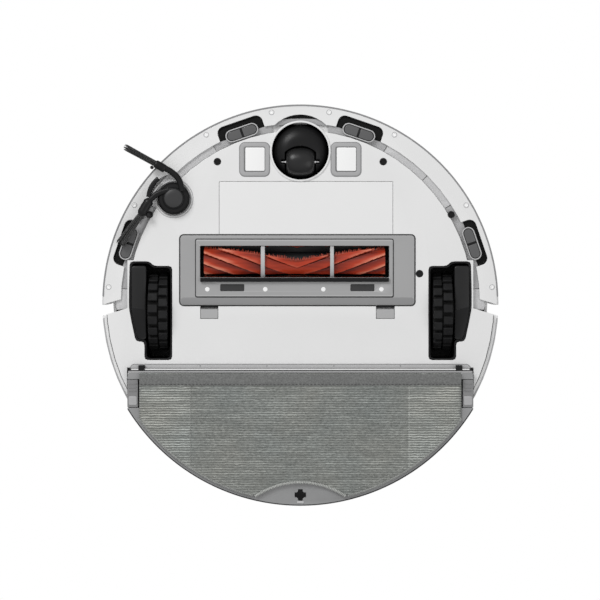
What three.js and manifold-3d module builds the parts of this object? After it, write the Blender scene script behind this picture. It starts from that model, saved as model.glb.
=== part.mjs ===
// A round robot vacuum with a clip-on mop: every casing, wheel, brush, sensor, button and
// latch is its own closed solid. Millimetres, +Z up, the front (bumper) faces -Y, and the
// origin is on the floor under the middle of the body.
import * as THREE from 'three';
import { mergeVertices } from 'three/addons/utils/BufferGeometryUtils.js';
import Module from 'manifold-3d';

const wasm = await Module();
wasm.setup();

// ---- Driving dimensions -------------------------------------------------------------------

const BODY_RADIUS = 172.8;    // bumper and rear skirt
const SHELL_INNER = 170.3;    // inside of the rear shell
const BODY_Y = -0.8;          // centre of the round body: the tank's arc reaches 1.6 further
const TANK_RADIUS = 176.6;
const BELLY_RADIUS = 150;     // flat underside, ahead of the side steps
const CHANNEL_RADIUS = 161;   // recessed ring between the underside and the bumper
const REAR_RADIUS = 168.5;    // underside behind the side steps
const BELLY = 10;             // height of the underside
const PLATE = 3;              // thickness of the underside plate
const CHANNEL_FLOOR = 16;
const COVER_BOTTOM = 78;
const COVER_TOP = 81;
const TURRET_TOP = 96.5;
const GAP = 0.3;              // clearance between touching pieces

const STEP_SLOPE = 0.3;       // slant of the joint between bumper and rear shell
const BUMPER_END = -2.5;
const CHANNEL_END = 4;
const REAR_START = 7;

const TANK_FRONT = 56.7;
const TANK_SIDE = 150.3;
const TANK_BOTTOM = 4.5;
const TANK_TOP = 26.2;
const CLOTH_BOTTOM = 0.6;

const WHEEL_RADIUS = 34;
const WHEEL_Y = 7;
const WHEEL_X = [-132.6, -115.6];
const PIVOT_Y = -23.5;        // suspension pivot
const PIVOT_Z = 17;

const ROLLER_Y = -36.6;
const ROLLER_Z = 21;
const ROLLER_RADIUS = 16;
const ROLLER_X = [-84.9, 74.7];
const BRUSH_TWIST = 0.65;      // degrees of turn per mm of length
const ROLLER_APEX = -3;       // where the two halves of the chevron meet

const CASTER_Y = -132.6;
const CASTER_TRAIL = 9.2;     // axle behind the swivel axis
const CASTER_WHEEL = 13;

const SIDE_BRUSH = [-110.1, -91.3];
const SIDE_BRUSH_PAD = 17.2;

const TURRET_Y = -58;
const TURRET_RADIUS = 47;
const TURRET_SEAT = 79.6;

const BUTTONS = { power_button: -14, dock_button: 14 };
const BUTTON_Y = -128;

const LID_X = 68;
const LID_Y = [2, 112];
const LID_AXIS = [3.6, 79.2];

const CONTACT_X = 39.8;
const CONTACT_Y = -125.4;

const BRUSH_LATCHES = { left: [-86.8, -71.8], right: [66.2, 81.8] };
const BRUSH_LATCH_Y = [4.9, 13.1];

// Downward-looking sensors: angle from the front and distance from the body's centre.
const CLIFF_SENSORS = {
  cliff_sensor_front_left: [-19, 156.4],
  cliff_sensor_front_right: [19, 156.4],
  cliff_sensor_side_left: [-71, 158],
  cliff_sensor_side_right: [71, 158],
};

const WHITE = { color: 0xe6e6e6, roughness: 0.45, metalness: 0 };
const LIGHT_GRAY = { color: 0xb4b4b4, roughness: 0.5, metalness: 0 };
const GRAY = { color: 0x9a9a9a, roughness: 0.5, metalness: 0 };
const BLACK = { color: 0x222222, roughness: 0.5, metalness: 0 };
const GLOSSY_BLACK = { color: 0x151515, roughness: 0.15, metalness: 0 };
const RUBBER = { color: 0x1a1a1a, roughness: 0.85, metalness: 0 };
const STEEL = { color: 0xc8c8c8, roughness: 0.25, metalness: 1 };
const ORANGE = { color: 0xb5402a, roughness: 0.4, metalness: 0 };
const SMOKE = { color: 0x6a6a6a, roughness: 0.25, metalness: 0 };
const CLOTH = { color: 0x85877f, roughness: 0.95, metalness: 0 };
const GREEN = { color: 0x2f5d3a, roughness: 0.6, metalness: 0 };

// ---- Solids from three.js geometry --------------------------------------------------------

function solid(geometry) {
  const bare = new THREE.BufferGeometry();
  bare.setAttribute('position', geometry.getAttribute('position'));
  bare.setIndex(geometry.getIndex());
  const merged = mergeVertices(bare, 1e-4);
  const corners = merged.getIndex().array;
  const kept = [];
  for (let i = 0; i < corners.length; i += 3) {
    const [a, b, c] = corners.slice(i, i + 3);
    if (a !== b && b !== c && c !== a) kept.push(a, b, c);
  }
  return new wasm.Manifold(new wasm.Mesh({
    numProp: 3,
    vertProperties: new Float32Array(merged.getAttribute('position').array),
    triVerts: new Uint32Array(kept),
  }));
}

function geometryOf(body) {
  const { vertProperties, triVerts } = body.getMesh();
  const geometry = new THREE.BufferGeometry();
  geometry.setAttribute('position', new THREE.BufferAttribute(new Float32Array(vertProperties), 3));
  geometry.setIndex(new THREE.BufferAttribute(new Uint32Array(triVerts), 1));
  geometry.computeVertexNormals();
  return geometry;
}

function addPiece(group, name, body, finish) {
  const mesh = new THREE.Mesh(geometryOf(body), new THREE.MeshStandardMaterial(finish));
  mesh.name = name;
  group.add(mesh);
  return mesh;
}

const joined = (bodies) => bodies.reduce((whole, body) => whole.add(body));
const cut = (body, tools) => tools.reduce((left, tool) => left.subtract(tool), body);
const middle = ([low, high]) => (low + high) / 2;
const radians = (degrees) => THREE.MathUtils.degToRad(degrees);

function block(x, y, z) {
  const geometry = new THREE.BoxGeometry(x[1] - x[0], y[1] - y[0], z[1] - z[0]);
  return solid(geometry.translate(middle(x), middle(y), middle(z)));
}

// An upright cylinder.
function post([x, y], z, radius, sides = 24) {
  const geometry = new THREE.CylinderGeometry(radius, radius, z[1] - z[0], sides);
  return solid(geometry.rotateX(Math.PI / 2).translate(x, y, middle(z)));
}

// A cylinder lying along X.
function rod(x, [y, z], radius, sides = 20) {
  const geometry = new THREE.CylinderGeometry(radius, radius, x[1] - x[0], sides);
  return solid(geometry.rotateZ(Math.PI / 2).translate(middle(x), y, z));
}

function lathe(profile, sides) {
  const points = profile.map(([r, z]) => new THREE.Vector2(r, z));
  if (THREE.ShapeUtils.isClockWise(points)) points.reverse();
  if (points[0].x > 0) points.push(points[0].clone());
  return new THREE.LatheGeometry(points, sides);
}

// A [radius, height] profile turned about an upright axis.
function turned(profile, [x, y] = [0, BODY_Y], sides = 64) {
  return solid(lathe(profile, sides).rotateX(Math.PI / 2).translate(x, y, 0));
}

// A [radius, along] profile turned about an axis that lies along X.
function turnedAlongX(profile, [y, z], sides = 24) {
  return solid(lathe(profile, sides).rotateZ(-Math.PI / 2).translate(0, y, z));
}

const ring = (inner, outer, z, centre, sides) => turned(
  [[inner, z[0]], [outer, z[0]], [outer, z[1]], [inner, z[1]]], centre, sides);

function polygon(points) {
  return new THREE.Shape(points.map(([x, y]) => new THREE.Vector2(x, y)));
}

function roundedRectangle([x0, x1], [y0, y1], r) {
  const shape = new THREE.Shape();
  shape.absarc(x1 - r, y0 + r, r, -Math.PI / 2, 0);
  shape.absarc(x1 - r, y1 - r, r, 0, Math.PI / 2);
  shape.absarc(x0 + r, y1 - r, r, Math.PI / 2, Math.PI);
  shape.absarc(x0 + r, y0 + r, r, Math.PI, Math.PI * 1.5);
  return shape;
}

function slab(shape, z, curveSegments = 3) {
  const options = { depth: z[1] - z[0], bevelEnabled: false, curveSegments };
  return solid(new THREE.ExtrudeGeometry(shape, options).translate(0, 0, z[0]));
}

// A shape drawn in the Y-Z plane, extruded along X.
function slabAlongX(shape, x, curveSegments = 6) {
  const options = { depth: x[1] - x[0], bevelEnabled: false, curveSegments };
  const geometry = new THREE.ExtrudeGeometry(shape, options);
  geometry.rotateX(Math.PI / 2).rotateZ(Math.PI / 2);
  return solid(geometry.translate(x[0], 0, 0));
}

// A bar of eight-sided section along a smooth line through the points.
function bar(points, radius, steps) {
  const path = new THREE.CatmullRomCurve3(points.map((point) => new THREE.Vector3(...point)));
  const section = new THREE.Shape();
  section.absarc(0, 0, radius, 0, Math.PI * 2);
  const options = { steps, extrudePath: path, curveSegments: 4, bevelEnabled: false };
  return solid(new THREE.ExtrudeGeometry(section, options));
}

// Everything ahead of the slanted joint that crosses the body's sides at Y = joint.
function aheadOf(joint) {
  const far = 200;
  const atMiddle = joint - 160 * STEP_SLOPE;
  const atFar = joint + (far - 160) * STEP_SLOPE;
  return slab(polygon([[-far, -far], [far, -far], [far, atFar], [0, atMiddle], [-far, atFar]]),
    [-5, 120]);
}

// ---- Outlines -----------------------------------------------------------------------------

// Cuts each corner of an outline with a short curve that starts that far from it.
function rounded(outline, reach) {
  const towards = (from, to) => {
    const span = Math.hypot(to[0] - from[0], to[1] - from[1]);
    const part = Math.min(reach, span * 0.4) / span;
    return [from[0] + (to[0] - from[0]) * part, from[1] + (to[1] - from[1]) * part];
  };
  return outline.flatMap((corner, i) => {
    const before = towards(corner, outline[(i + outline.length - 1) % outline.length]);
    const after = towards(corner, outline[(i + 1) % outline.length]);
    const middle = [0, 1].map((k) => before[k] / 4 + corner[k] / 2 + after[k] / 4);
    return [before, middle, after];
  });
}

// Wheel well seen from above, on the left (-X) side; inset shrinks it evenly.
function wellOutline(inset, side) {
  const left = -149.2 + inset;
  const right = -111.6 - inset;
  const front = -36.6 + inset;
  const back = 49.3 - inset;
  const outline = [
    [-148.5 + inset, front], [-131.4 - inset * 0.6, front], [-127.6 - inset * 0.6, -32.6 + inset],
    [right, -32.6 + inset], [right, back], [-135.7 + inset, back], [-135.7 + inset, 33.2 - inset],
    [-143.3 + inset, 33.2 - inset], [-147 + inset, 16 - inset / 2], [left, 4], [left, -12],
  ];
  return polygon(rounded(outline, 3.2).map(([x, y]) => [x * -side, y]));
}

// Half-moon of the tank: flat sides, chamfered front corners and a round back.
function halfMoon(inset, front = TANK_FRONT) {
  const side = TANK_SIDE - inset;
  const radius = TANK_RADIUS - inset;
  const reach = Math.acos(side / radius);
  const shape = new THREE.Shape();
  shape.moveTo(-side, front + 7 + inset / 2);
  shape.lineTo(-side + 7, front + inset);
  shape.lineTo(side - 7, front + inset);
  shape.lineTo(side, front + 7 + inset / 2);
  shape.absarc(0, BODY_Y, radius, reach, Math.PI - reach);
  return shape;
}

function stadium(length, width) {
  const shape = new THREE.Shape();
  const straight = (length - width) / 2;
  shape.absarc(straight, 0, width / 2, -Math.PI / 2, Math.PI / 2);
  shape.absarc(-straight, 0, width / 2, Math.PI / 2, Math.PI * 1.5);
  return shape;
}

// A flat shape drawn about the origin, turned and moved to a sensor's place.
function aroundBody(shape, [angle, distance], z, curveSegments = 4) {
  const options = { depth: z[1] - z[0], bevelEnabled: false, curveSegments };
  const geometry = new THREE.ExtrudeGeometry(shape, options);
  geometry.translate(0, -distance, z[0]).rotateZ(radians(angle)).translate(0, BODY_Y, 0);
  return solid(geometry);
}

const latchWindow = (x, y, extra) => [
  [x[0] - extra, x[1] + extra], [y[0] - extra, y[1] + extra]];

// ---- Chassis and covers -------------------------------------------------------------------

const BRUSH_COVER_X = [-104.5, 99.3];
const BRUSH_COVER_Y = [-59.3, 1.3];
const BATTERY_COVER_X = [-70.5, 80.4];
const BATTERY_COVER_Y = [-106, -59.9];
const SCREW_HOLES = [[-72.2, -123.4], [72.2, -123.4], [-131.5, -77.4], [131.5, -77.4], [103.8, -25.9]];

function chassisPlate() {
  const disc = turned([[0, BELLY], [BELLY_RADIUS, BELLY], [BELLY_RADIUS, BELLY + PLATE],
    [0, BELLY + PLATE]]);
  const step = turned([[BELLY_RADIUS - 2, BELLY], [BELLY_RADIUS, BELLY],
    [BELLY_RADIUS, CHANNEL_FLOOR], [CHANNEL_RADIUS, CHANNEL_FLOOR],
    [CHANNEL_RADIUS, CHANNEL_FLOOR + 3], [BELLY_RADIUS - 2, CHANNEL_FLOOR + 3]]);
  const rear = turned([[0, BELLY], [REAR_RADIUS, BELLY], [REAR_RADIUS, BELLY + PLATE],
    [0, BELLY + PLATE]]);
  const padX = [140, 150.6];
  const padY = [-37.6, 4.5];
  const padZ = [BELLY, CHANNEL_FLOOR + 3];
  return joined([
    disc,
    step.intersect(aheadOf(CHANNEL_END)),
    rear.subtract(aheadOf(REAR_START)),
    block(padX, padY, padZ),
    block([-padX[1], -padX[0]], padY, padZ),
    post(SIDE_BRUSH, padZ, SIDE_BRUSH_PAD, 32),
  ]);
}

// The bay over the tank: a step across the body, two side walls and a deck.
function tankBay() {
  const inside = [-TANK_SIDE - 0.5, TANK_SIDE + 0.5];
  const stepFront = TANK_FRONT - 3.3;
  const deckRadius = SHELL_INNER - 0.5;
  const deck = turned([[0, TANK_TOP + 1.3], [deckRadius, TANK_TOP + 1.3],
    [deckRadius, TANK_TOP + 3.8], [0, TANK_TOP + 3.8]]);
  const walls = block([inside[0] - 2, inside[1] + 2], [stepFront, 90], [BELLY, TANK_TOP + 3.8])
    .subtract(block(inside, [stepFront + 2.5, 95], [BELLY - 1, TANK_TOP + 2]))
    .intersect(post([0, BODY_Y], [0, 60], REAR_RADIUS, 64));
  return joined([deck.intersect(block([-200, 200], [stepFront, 200], [0, 60])), walls]);
}

function chassis() {
  const inside = [-TANK_SIDE - 0.5, TANK_SIDE + 0.5];
  const openings = [
    block(inside, [TANK_FRONT - 0.8, 200], [0, TANK_TOP + 1]),
    slab(roundedRectangle([BRUSH_COVER_X[0] - GAP, BRUSH_COVER_X[1] + GAP],
      [BRUSH_COVER_Y[0] - GAP, BRUSH_COVER_Y[1] + GAP], 3), [BELLY - 1, BELLY + 1.5]),
    block([-90, 80], [-55.5, -17.3], [BELLY - 1, BELLY + 4]),
    block([BATTERY_COVER_X[0] - GAP, BATTERY_COVER_X[1] + GAP],
      [BATTERY_COVER_Y[0] - GAP, BATTERY_COVER_Y[1] + GAP], [BELLY - 1, BELLY + 1.9]),
    block([-67, 77], [-103, -62.5], [BELLY - 1, BELLY + 4]),
    post([0, CASTER_Y], [0, 40], 26.4, 40),
    post(SIDE_BRUSH, [BELLY - 1, BELLY + 1.2], 14.9, 32),
    post(SIDE_BRUSH, [BELLY - 1, 40], 4.2, 16),
    slab(wellOutline(0, -1), [0, 40]),
    slab(wellOutline(0, 1), [0, 40]),
    ...SCREW_HOLES.map((place) => post(place, [BELLY - 1, BELLY + 2], 3.3, 12)),
  ];
  for (const x of Object.values(BRUSH_LATCHES)) {
    openings.push(block(...latchWindow(x, [1.4, BRUSH_LATCH_Y[1]], GAP), [BELLY - 1, BELLY + 4]));
  }
  for (const side of [-1, 1]) {
    const x = [side * CONTACT_X - 13.1, side * CONTACT_X + 13.1];
    const y = [CONTACT_Y - 14.8, CONTACT_Y + 14.8];
    openings.push(slab(roundedRectangle(x, y, 4.8), [BELLY - 1, BELLY + 1.6]));
  }
  return cut(chassisPlate().add(tankBay()), openings);
}

function topCover() {
  const frontPlate = turned([[0, COVER_BOTTOM], [166.5, COVER_BOTTOM], [166.5, COVER_TOP - 1.5],
    [165, COVER_TOP], [0, COVER_TOP]]);
  const frontWall = ring(CHANNEL_RADIUS, 163.5, [19.4, COVER_BOTTOM + 1]);
  const rearShell = turned([[0, COVER_BOTTOM], [SHELL_INNER, COVER_BOTTOM], [SHELL_INNER, 16], [169.1, 16],
    [169.1, 13], [BODY_RADIUS, 13], [BODY_RADIUS, COVER_TOP - 3], [BODY_RADIUS - 3, COVER_TOP],
    [0, COVER_TOP]]);
  const sideSteps = ring(CHANNEL_RADIUS, BODY_RADIUS, [19.4, COVER_BOTTOM + 1])
    .intersect(aheadOf(REAR_START + 2.5)).subtract(aheadOf(REAR_START));
  const shell = joined([frontPlate, frontWall.intersect(aheadOf(REAR_START + 1)),
    rearShell.subtract(aheadOf(REAR_START)), sideSteps]);
  const tankSpace = block([-TANK_SIDE - 0.5, TANK_SIDE + 0.5], [40, 200], [0, TANK_TOP + 1.8]);
  const grille = block([-40, 40], [150, 200], [45, 60]);
  const lidHole = block([-LID_X - 0.4, LID_X + 0.4], [LID_AXIS[0] - 2.7, LID_Y[1] + 0.4],
    [70, 90]);
  const pinSlot = block([-LID_X - 2.2, LID_X + 2.2], [LID_AXIS[0] - 1.2, LID_AXIS[0] + 1.2],
    [70, LID_AXIS[1] + 1.2]);
  const ledge = block([-70.5, 70.5], [8, LID_Y[1] + 2.5], [76.8, COVER_BOTTOM + 0.2])
    .subtract(block([-66, 66], [0, LID_Y[1] - 1.5], [70, 90]));
  const ledgeTop = block([-LID_X - 0.4, LID_X + 0.4], [8, LID_Y[1] + 0.4],
    [COVER_BOTTOM, COVER_TOP]);
  const buttonHoles = Object.values(BUTTONS).map(
    (x) => post([x, BUTTON_Y], [70, 90], 6.3, 20));
  const open = cut(shell, [tankSpace, grille, lidHole, pinSlot,
    post([0, TURRET_Y], [70, 90], 4, 16),
    post([0, TURRET_Y], [TURRET_SEAT, 90], TURRET_RADIUS + 0.4, 40), ...buttonHoles]);
  return open.add(ledge.subtract(ledgeTop));
}

function exhaustGrille() {
  const panel = ring(SHELL_INNER + 0.3, BODY_RADIUS - 0.4, [45.3, 59.7])
    .intersect(block([-39.7, 39.7], [150, 200], [0, 90]));
  const slots = [];
  for (let z = 47; z < 58; z += 2.6) slots.push(block([-37, 37], [150, 200], [z, z + 1.4]));
  return cut(panel, slots);
}

function batteryCover() {
  return block(BATTERY_COVER_X, BATTERY_COVER_Y, [BELLY, BELLY + 1.6]);
}

const casings = new THREE.Group();
addPiece(casings, 'chassis', chassis(), WHITE);
addPiece(casings, 'top_cover', topCover(), WHITE);
addPiece(casings, 'exhaust_grille', exhaustGrille(), GRAY);
addPiece(casings, 'battery_cover', batteryCover(), WHITE);

// ---- Bumper -------------------------------------------------------------------------------

const BUMPER_WINDOW_Z = [38, 60];

function bumper() {
  const shell = turned([[156.5, 12], [BODY_RADIUS - 1.5, 12], [BODY_RADIUS, 13.5],
    [BODY_RADIUS, 75.5], [BODY_RADIUS - 1.5, 77], [167.5, 77], [167.5, 75], [169.8, 75], [169.8, 14],
    [156.5, 14]]).intersect(aheadOf(BUMPER_END));
  const notches = Object.values(CLIFF_SENSORS).map(([angle]) => aroundBody(
    roundedRectangle([-20.5, 20.5], [-14, 14], 6), [angle, 153], [11, 15]));
  return cut(shell, [
    ...notches,
    post([0, CASTER_Y], [11, 15], 32, 40),
    post(SIDE_BRUSH, [11, 15], 21.5, 32),
    block([-46, 46], [-200, -150], BUMPER_WINDOW_Z),
  ]);
}

function bumperWindow() {
  const z = [BUMPER_WINDOW_Z[0] + GAP, BUMPER_WINDOW_Z[1] - GAP];
  return ring(170.2, BODY_RADIUS - 0.2, z).intersect(block([-45.7, 45.7], [-200, -150], [0, 90]));
}

const front = new THREE.Group();
addPiece(front, 'bumper', bumper(), WHITE);
addPiece(front, 'bumper_window', bumperWindow(), GLOSSY_BLACK);

// ---- Drive wheels -------------------------------------------------------------------------

const ARM_X = [-145.2, -134.5];
const HOUSING_TOP = 72;

function wheelHousing() {
  return cut(slab(wellOutline(0.4, -1), [11, HOUSING_TOP]), [
    slab(wellOutline(1.6, -1), [5, HOUSING_TOP - 1.5]),
    rod([-160, -140], [PIVOT_Y, PIVOT_Z], 2.8),
  ]);
}

// The gearbox arm: a flat-bottomed block with a rounded tail, bored for the pivot pin.
function swingArm() {
  const side = polygon([[-31, 14], [-27.5, 10.6], [18, 10.6], [27, 17], [30, 26], [24, 32],
    [8, 43], [-8, 46], [-28, 28], [-31.5, 20]]);
  const taper = slab(polygon([[ARM_X[0], -40], [ARM_X[0], 4], [-139.5, 32], [-130, 32],
    [-130, -40]]), [0, 60]);
  return slabAlongX(side, ARM_X).intersect(taper)
    .subtract(rod([-150, -130], [PIVOT_Y, PIVOT_Z], 2.8));
}

function driveMotor() {
  const can = rod([ARM_X[1] + GAP, -121.5], [WHEEL_Y, WHEEL_RADIUS], 20, 24);
  return can.add(rod([-122, -114.4], [WHEEL_Y, WHEEL_RADIUS], 3));
}

// A cup that closes over the motor, with a cap on the side towards the body's middle.
function driveHub() {
  const profile = [[3.4, -117.8], [21.5, -117.8], [21.5, -131.5], [25.8, -131.5], [25.8, -116.2],
    [20, -114.8], [3.4, -114.8]];
  return turnedAlongX(profile, [WHEEL_Y, WHEEL_RADIUS], 28);
}

// One row of tread blocks with its share of the carcass; turn is in tooth pitches.
function treadRow(x, turn) {
  const teeth = 12;
  const pitch = (Math.PI * 2) / teeth;
  const shape = new THREE.Shape();
  for (let i = 0; i < teeth; i += 1) {
    const start = -Math.PI / 2 + (i + turn) * pitch;
    for (const [angle, radius] of [[-0.34, 31.2], [-0.3, 34], [0, 34], [0.3, 34], [0.34, 31.2]]) {
      const at = start + angle * pitch;
      const point = [WHEEL_Y + radius * Math.cos(at), WHEEL_RADIUS + radius * Math.sin(at)];
      if (i === 0 && angle === -0.34) shape.moveTo(...point);
      else shape.lineTo(...point);
    }
  }
  const bore = new THREE.Path();
  bore.absarc(WHEEL_Y, WHEEL_RADIUS, 26.2, 0, Math.PI * 2);
  shape.holes.push(bore);
  return slabAlongX(shape, x, 14);
}

function driveTyre() {
  const split = -124.3;
  return treadRow([WHEEL_X[0], split], 0).add(treadRow([split - 0.01, WHEEL_X[1]], 0.5));
}

function wheelModule(side) {
  const group = new THREE.Group();
  addPiece(group, `wheel_housing_${side}`, wheelHousing(), BLACK);
  addPiece(group, `swing_arm_${side}`, swingArm(), BLACK);
  addPiece(group, `suspension_pin_${side}`,
    rod([-148.4, -134.8], [PIVOT_Y, PIVOT_Z], 2.5), STEEL);
  addPiece(group, `drive_motor_${side}`, driveMotor(), GRAY);
  addPiece(group, `drive_hub_${side}`, driveHub(), BLACK);
  addPiece(group, `drive_tyre_${side}`, driveTyre(), RUBBER);
  return group;
}

const leftWheel = wheelModule('left');
const rightWheel = wheelModule('right');
rightWheel.scale.x = -1;

// ---- Main brush, its chamber and its cover ------------------------------------------------

function brushChamber() {
  const outer = block([-93, 83], [-57, -17], [13.5, 44]);
  const duct = block([-35, 25], [-18, 11.7], [33, 44]);
  return cut(outer.add(duct), [
    block([-91, 81], [-55, -19], [10, 42]),
    block([-33.5, 23.5], [-20, 15], [34.5, 42]),
    rod([-100, 90], [ROLLER_Y, ROLLER_Z], 3.2),
  ]);
}

function brushMotor() {
  return block([85, 103], [-50, -24], [15, 41])
    .subtract(rod([80, 89], [ROLLER_Y, ROLLER_Z], 3.2));
}

function brushCore() {
  return rod(ROLLER_X, [ROLLER_Y, ROLLER_Z], 9, 32)
    .add(rod([ROLLER_X[0] - 7, ROLLER_X[1] + 12.5], [ROLLER_Y, ROLLER_Z], 2.7));
}

// Six fins on a sleeve, twisted one way up to the apex and the other way beyond it.
function brushFins() {
  const fins = 6;
  const shape = new THREE.Shape();
  for (let i = 0; i < fins; i += 1) {
    const start = ((i + 0.5) * Math.PI * 2) / fins;
    for (const [angle, radius] of [[-0.14, 10.8], [-0.07, ROLLER_RADIUS], [0.07, ROLLER_RADIUS],
      [0.14, 10.8], [0.52, 10.8]]) {
      const point = [radius * Math.cos(start + angle), radius * Math.sin(start + angle)];
      if (i === 0 && angle === -0.14) shape.moveTo(...point);
      else shape.lineTo(...point);
    }
  }
  const bore = new THREE.Path();
  bore.absarc(0, 0, 9.9, 0, Math.PI * 2);
  shape.holes.push(bore);
  const length = ROLLER_X[1] - ROLLER_X[0] - 2;
  const options = { depth: length, steps: 9, bevelEnabled: false, curveSegments: 8 };
  const geometry = new THREE.ExtrudeGeometry(shape, options).translate(0, 0, ROLLER_X[0] + 1);
  const places = geometry.getAttribute('position');
  const point = new THREE.Vector3();
  const axis = new THREE.Vector3(0, 0, 1);
  for (let i = 0; i < places.count; i += 1) {
    point.fromBufferAttribute(places, i);
    point.applyAxisAngle(axis, -Math.abs(point.z - ROLLER_APEX) * radians(BRUSH_TWIST));
    places.setXYZ(i, point.x, point.y, point.z);
  }
  geometry.rotateX(Math.PI / 2).rotateZ(Math.PI / 2);
  return solid(geometry.translate(0, ROLLER_Y, ROLLER_Z));
}

// Two guard bars bend under the roller and keep a cable from being drawn in.
function guardBar(x) {
  const shape = new THREE.Shape();
  shape.absarc(ROLLER_Y, ROLLER_Z, 18.4, radians(222), radians(322));
  shape.absarc(ROLLER_Y, ROLLER_Z, 16.9, radians(322), radians(222), true);
  return slabAlongX(shape, x, 5);
}

function brushCover() {
  const plate = slab(roundedRectangle(BRUSH_COVER_X, BRUSH_COVER_Y, 3), [8.4, 11.2]);
  const frame = slab(roundedRectangle([-90.8, 80.5], [-55.6, -6], 1), [7.2, 9]);
  const window = block([-87.2, 77.2], [-50.1, -22.6], [5, 14]);
  const sockets = [[-69.6, -48.8], [43.6, 64.4]].map(
    (x) => block(x, [-16.8, -10.7], [6, 8.6]));
  return cut(plate.add(frame), [window, ...sockets])
    .add(guardBar([-34.4, -30.8])).add(guardBar([25.9, 29.2]));
}

function brushLatch([x0, x1]) {
  const tab = block([x0, x1], BRUSH_LATCH_Y, [BELLY + 0.1, BELLY + 4]);
  const flange = block([x0 - 1.5, x1 + 1.5], [3.6, 14.6], [BELLY + 3.4, BELLY + 5]);
  return tab.add(flange);
}

const mainBrush = new THREE.Group();
addPiece(mainBrush, 'brush_chamber', brushChamber(), BLACK);
addPiece(mainBrush, 'brush_motor', brushMotor(), BLACK);
addPiece(mainBrush, 'brush_core', brushCore(), ORANGE);
addPiece(mainBrush, 'brush_fins', brushFins(), ORANGE);
addPiece(mainBrush, 'brush_cover', brushCover(), GRAY);
addPiece(mainBrush, 'dirt_lip', block([-87, 77], [-22.3, -18.8], [4.6, 6.9]), RUBBER);
for (const [side, x] of Object.entries(BRUSH_LATCHES)) {
  addPiece(mainBrush, `brush_latch_${side}`, brushLatch(x), LIGHT_GRAY);
}

// ---- Side brush ---------------------------------------------------------------------------

const ARM_HEIGHT = 3.6;
const at = (points, z) => points.map(([x, y]) => [x, y, z]);
const FRONT_BRISTLES = [[-126.2, -121.6], [-140, -129.3], [-153, -136.4]];
const REAR_BRISTLES = [[-138.6, -76.4], [-150, -61], [-157.2, -50.4]];

function sideBrush() {
  const hub = turned([[0, 2.6], [8.3, 2.6], [9.2, 4.2], [13, 4.2], [14.1, 5.6], [14.1, 10.6],
    [0, 10.6]], SIDE_BRUSH, 28);
  const connector = new THREE.EllipseCurve(...SIDE_BRUSH, 21.7, 21.7,
    radians(183), radians(233)).getPoints(4).map(({ x, y }) => [x, y, ARM_HEIGHT]);
  return joined([
    hub,
    post(SIDE_BRUSH, [9, 22], 3.4, 12),
    bar(at([[-102.4, -97.8], [-105.7, -108], [-113, -115], [-121.8, -119.4]], ARM_HEIGHT), 2.6, 7),
    bar(at([[-117.6, -116.8], [-121.5, -119], [-125.9, -121.4]], ARM_HEIGHT), 3.1, 2),
    bar(at([[-114.5, -98.5], [-124.5, -95], [-131.5, -88.8]], ARM_HEIGHT), 2.6, 5),
    bar(at([[-130.6, -90], [-134.6, -83.6], [-138.4, -76.8]], ARM_HEIGHT), 3.1, 2),
    bar(connector, 2.1, 5),
  ]);
}

const sweeper = new THREE.Group();
addPiece(sweeper, 'side_brush', sideBrush(), BLACK);
addPiece(sweeper, 'side_bristles_front', bar(at(FRONT_BRISTLES, ARM_HEIGHT), 2.8, 3), BLACK);
addPiece(sweeper, 'side_bristles_rear', bar(at(REAR_BRISTLES, ARM_HEIGHT), 2.8, 3), BLACK);
addPiece(sweeper, 'side_brush_motor', post(SIDE_BRUSH, [19.4, 42], 14)
  .subtract(post(SIDE_BRUSH, [15, 23], 4, 12)), GRAY);

// ---- Caster -------------------------------------------------------------------------------
// Modelled about its own swivel axis, with the floor at zero.

const AXLE_X = 16.5;

function casterCup() {
  return turned([[4.6, 33.2], [24.7, 33.2], [24.7, 9], [25.9, 9], [25.9, 35], [4.6, 35]],
    [0, 0], 40);
}

function casterFork() {
  const dome = turned([[0, 4.5], [11, 5], [18, 7.4], [22.6, 11.6], [24, 17], [24, 30], [4.2, 30],
    [4.2, 38], [0, 38]], [0, 0], 36);
  const wheelSlot = block([-13.7, 13.7], [CASTER_TRAIL - 13.8, 30], [0, 27.2]);
  const axleNotch = block([-AXLE_X - GAP, AXLE_X + GAP], [CASTER_TRAIL - 1.9, CASTER_TRAIL + 1.9],
    [0, CASTER_WHEEL + 1.9]);
  return cut(dome, [wheelSlot, axleNotch]);
}

function casterWheel() {
  return turnedAlongX([[1.9, -13], [10, -13], [12.4, -10], [CASTER_WHEEL, -5], [CASTER_WHEEL, 5],
    [12.4, 10], [10, 13], [1.9, 13]], [CASTER_TRAIL, CASTER_WHEEL]);
}

const caster = new THREE.Group();
caster.position.y = CASTER_Y;
addPiece(caster, 'caster_cup', casterCup(), BLACK);
addPiece(caster, 'caster_fork', casterFork(), BLACK);
addPiece(caster, 'caster_wheel', casterWheel(), RUBBER);
addPiece(caster, 'caster_axle',
  rod([-AXLE_X, AXLE_X], [CASTER_TRAIL, CASTER_WHEEL], 1.5, 16), STEEL);

// ---- Sensors and charging contacts --------------------------------------------------------

const sensors = new THREE.Group();
for (const [name, place] of Object.entries(CLIFF_SENSORS)) {
  const rim = aroundBody(stadium(29.6, 11), place, [BELLY + 0.4, 15.7]);
  const lensSeat = aroundBody(stadium(27, 9), place, [BELLY, BELLY + 0.8]);
  addPiece(sensors, name, rim.subtract(lensSeat), GLOSSY_BLACK);
}
for (const [name, x] of [['left', -CONTACT_X], ['right', CONTACT_X]]) {
  const frame = roundedRectangle([x - 12.8, x + 12.8], [CONTACT_Y - 14.5, CONTACT_Y + 14.5], 4.5);
  const face = roundedRectangle([x - 9.15, x + 9.15], [CONTACT_Y - 10.9, CONTACT_Y + 10.9], 1.5);
  const contact = slab(frame, [BELLY + 0.3, BELLY + 1.3]).add(slab(face, [BELLY - 0.2, BELLY + 1]));
  addPiece(sensors, `charge_contact_${name}`, contact, STEEL);
}

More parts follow.
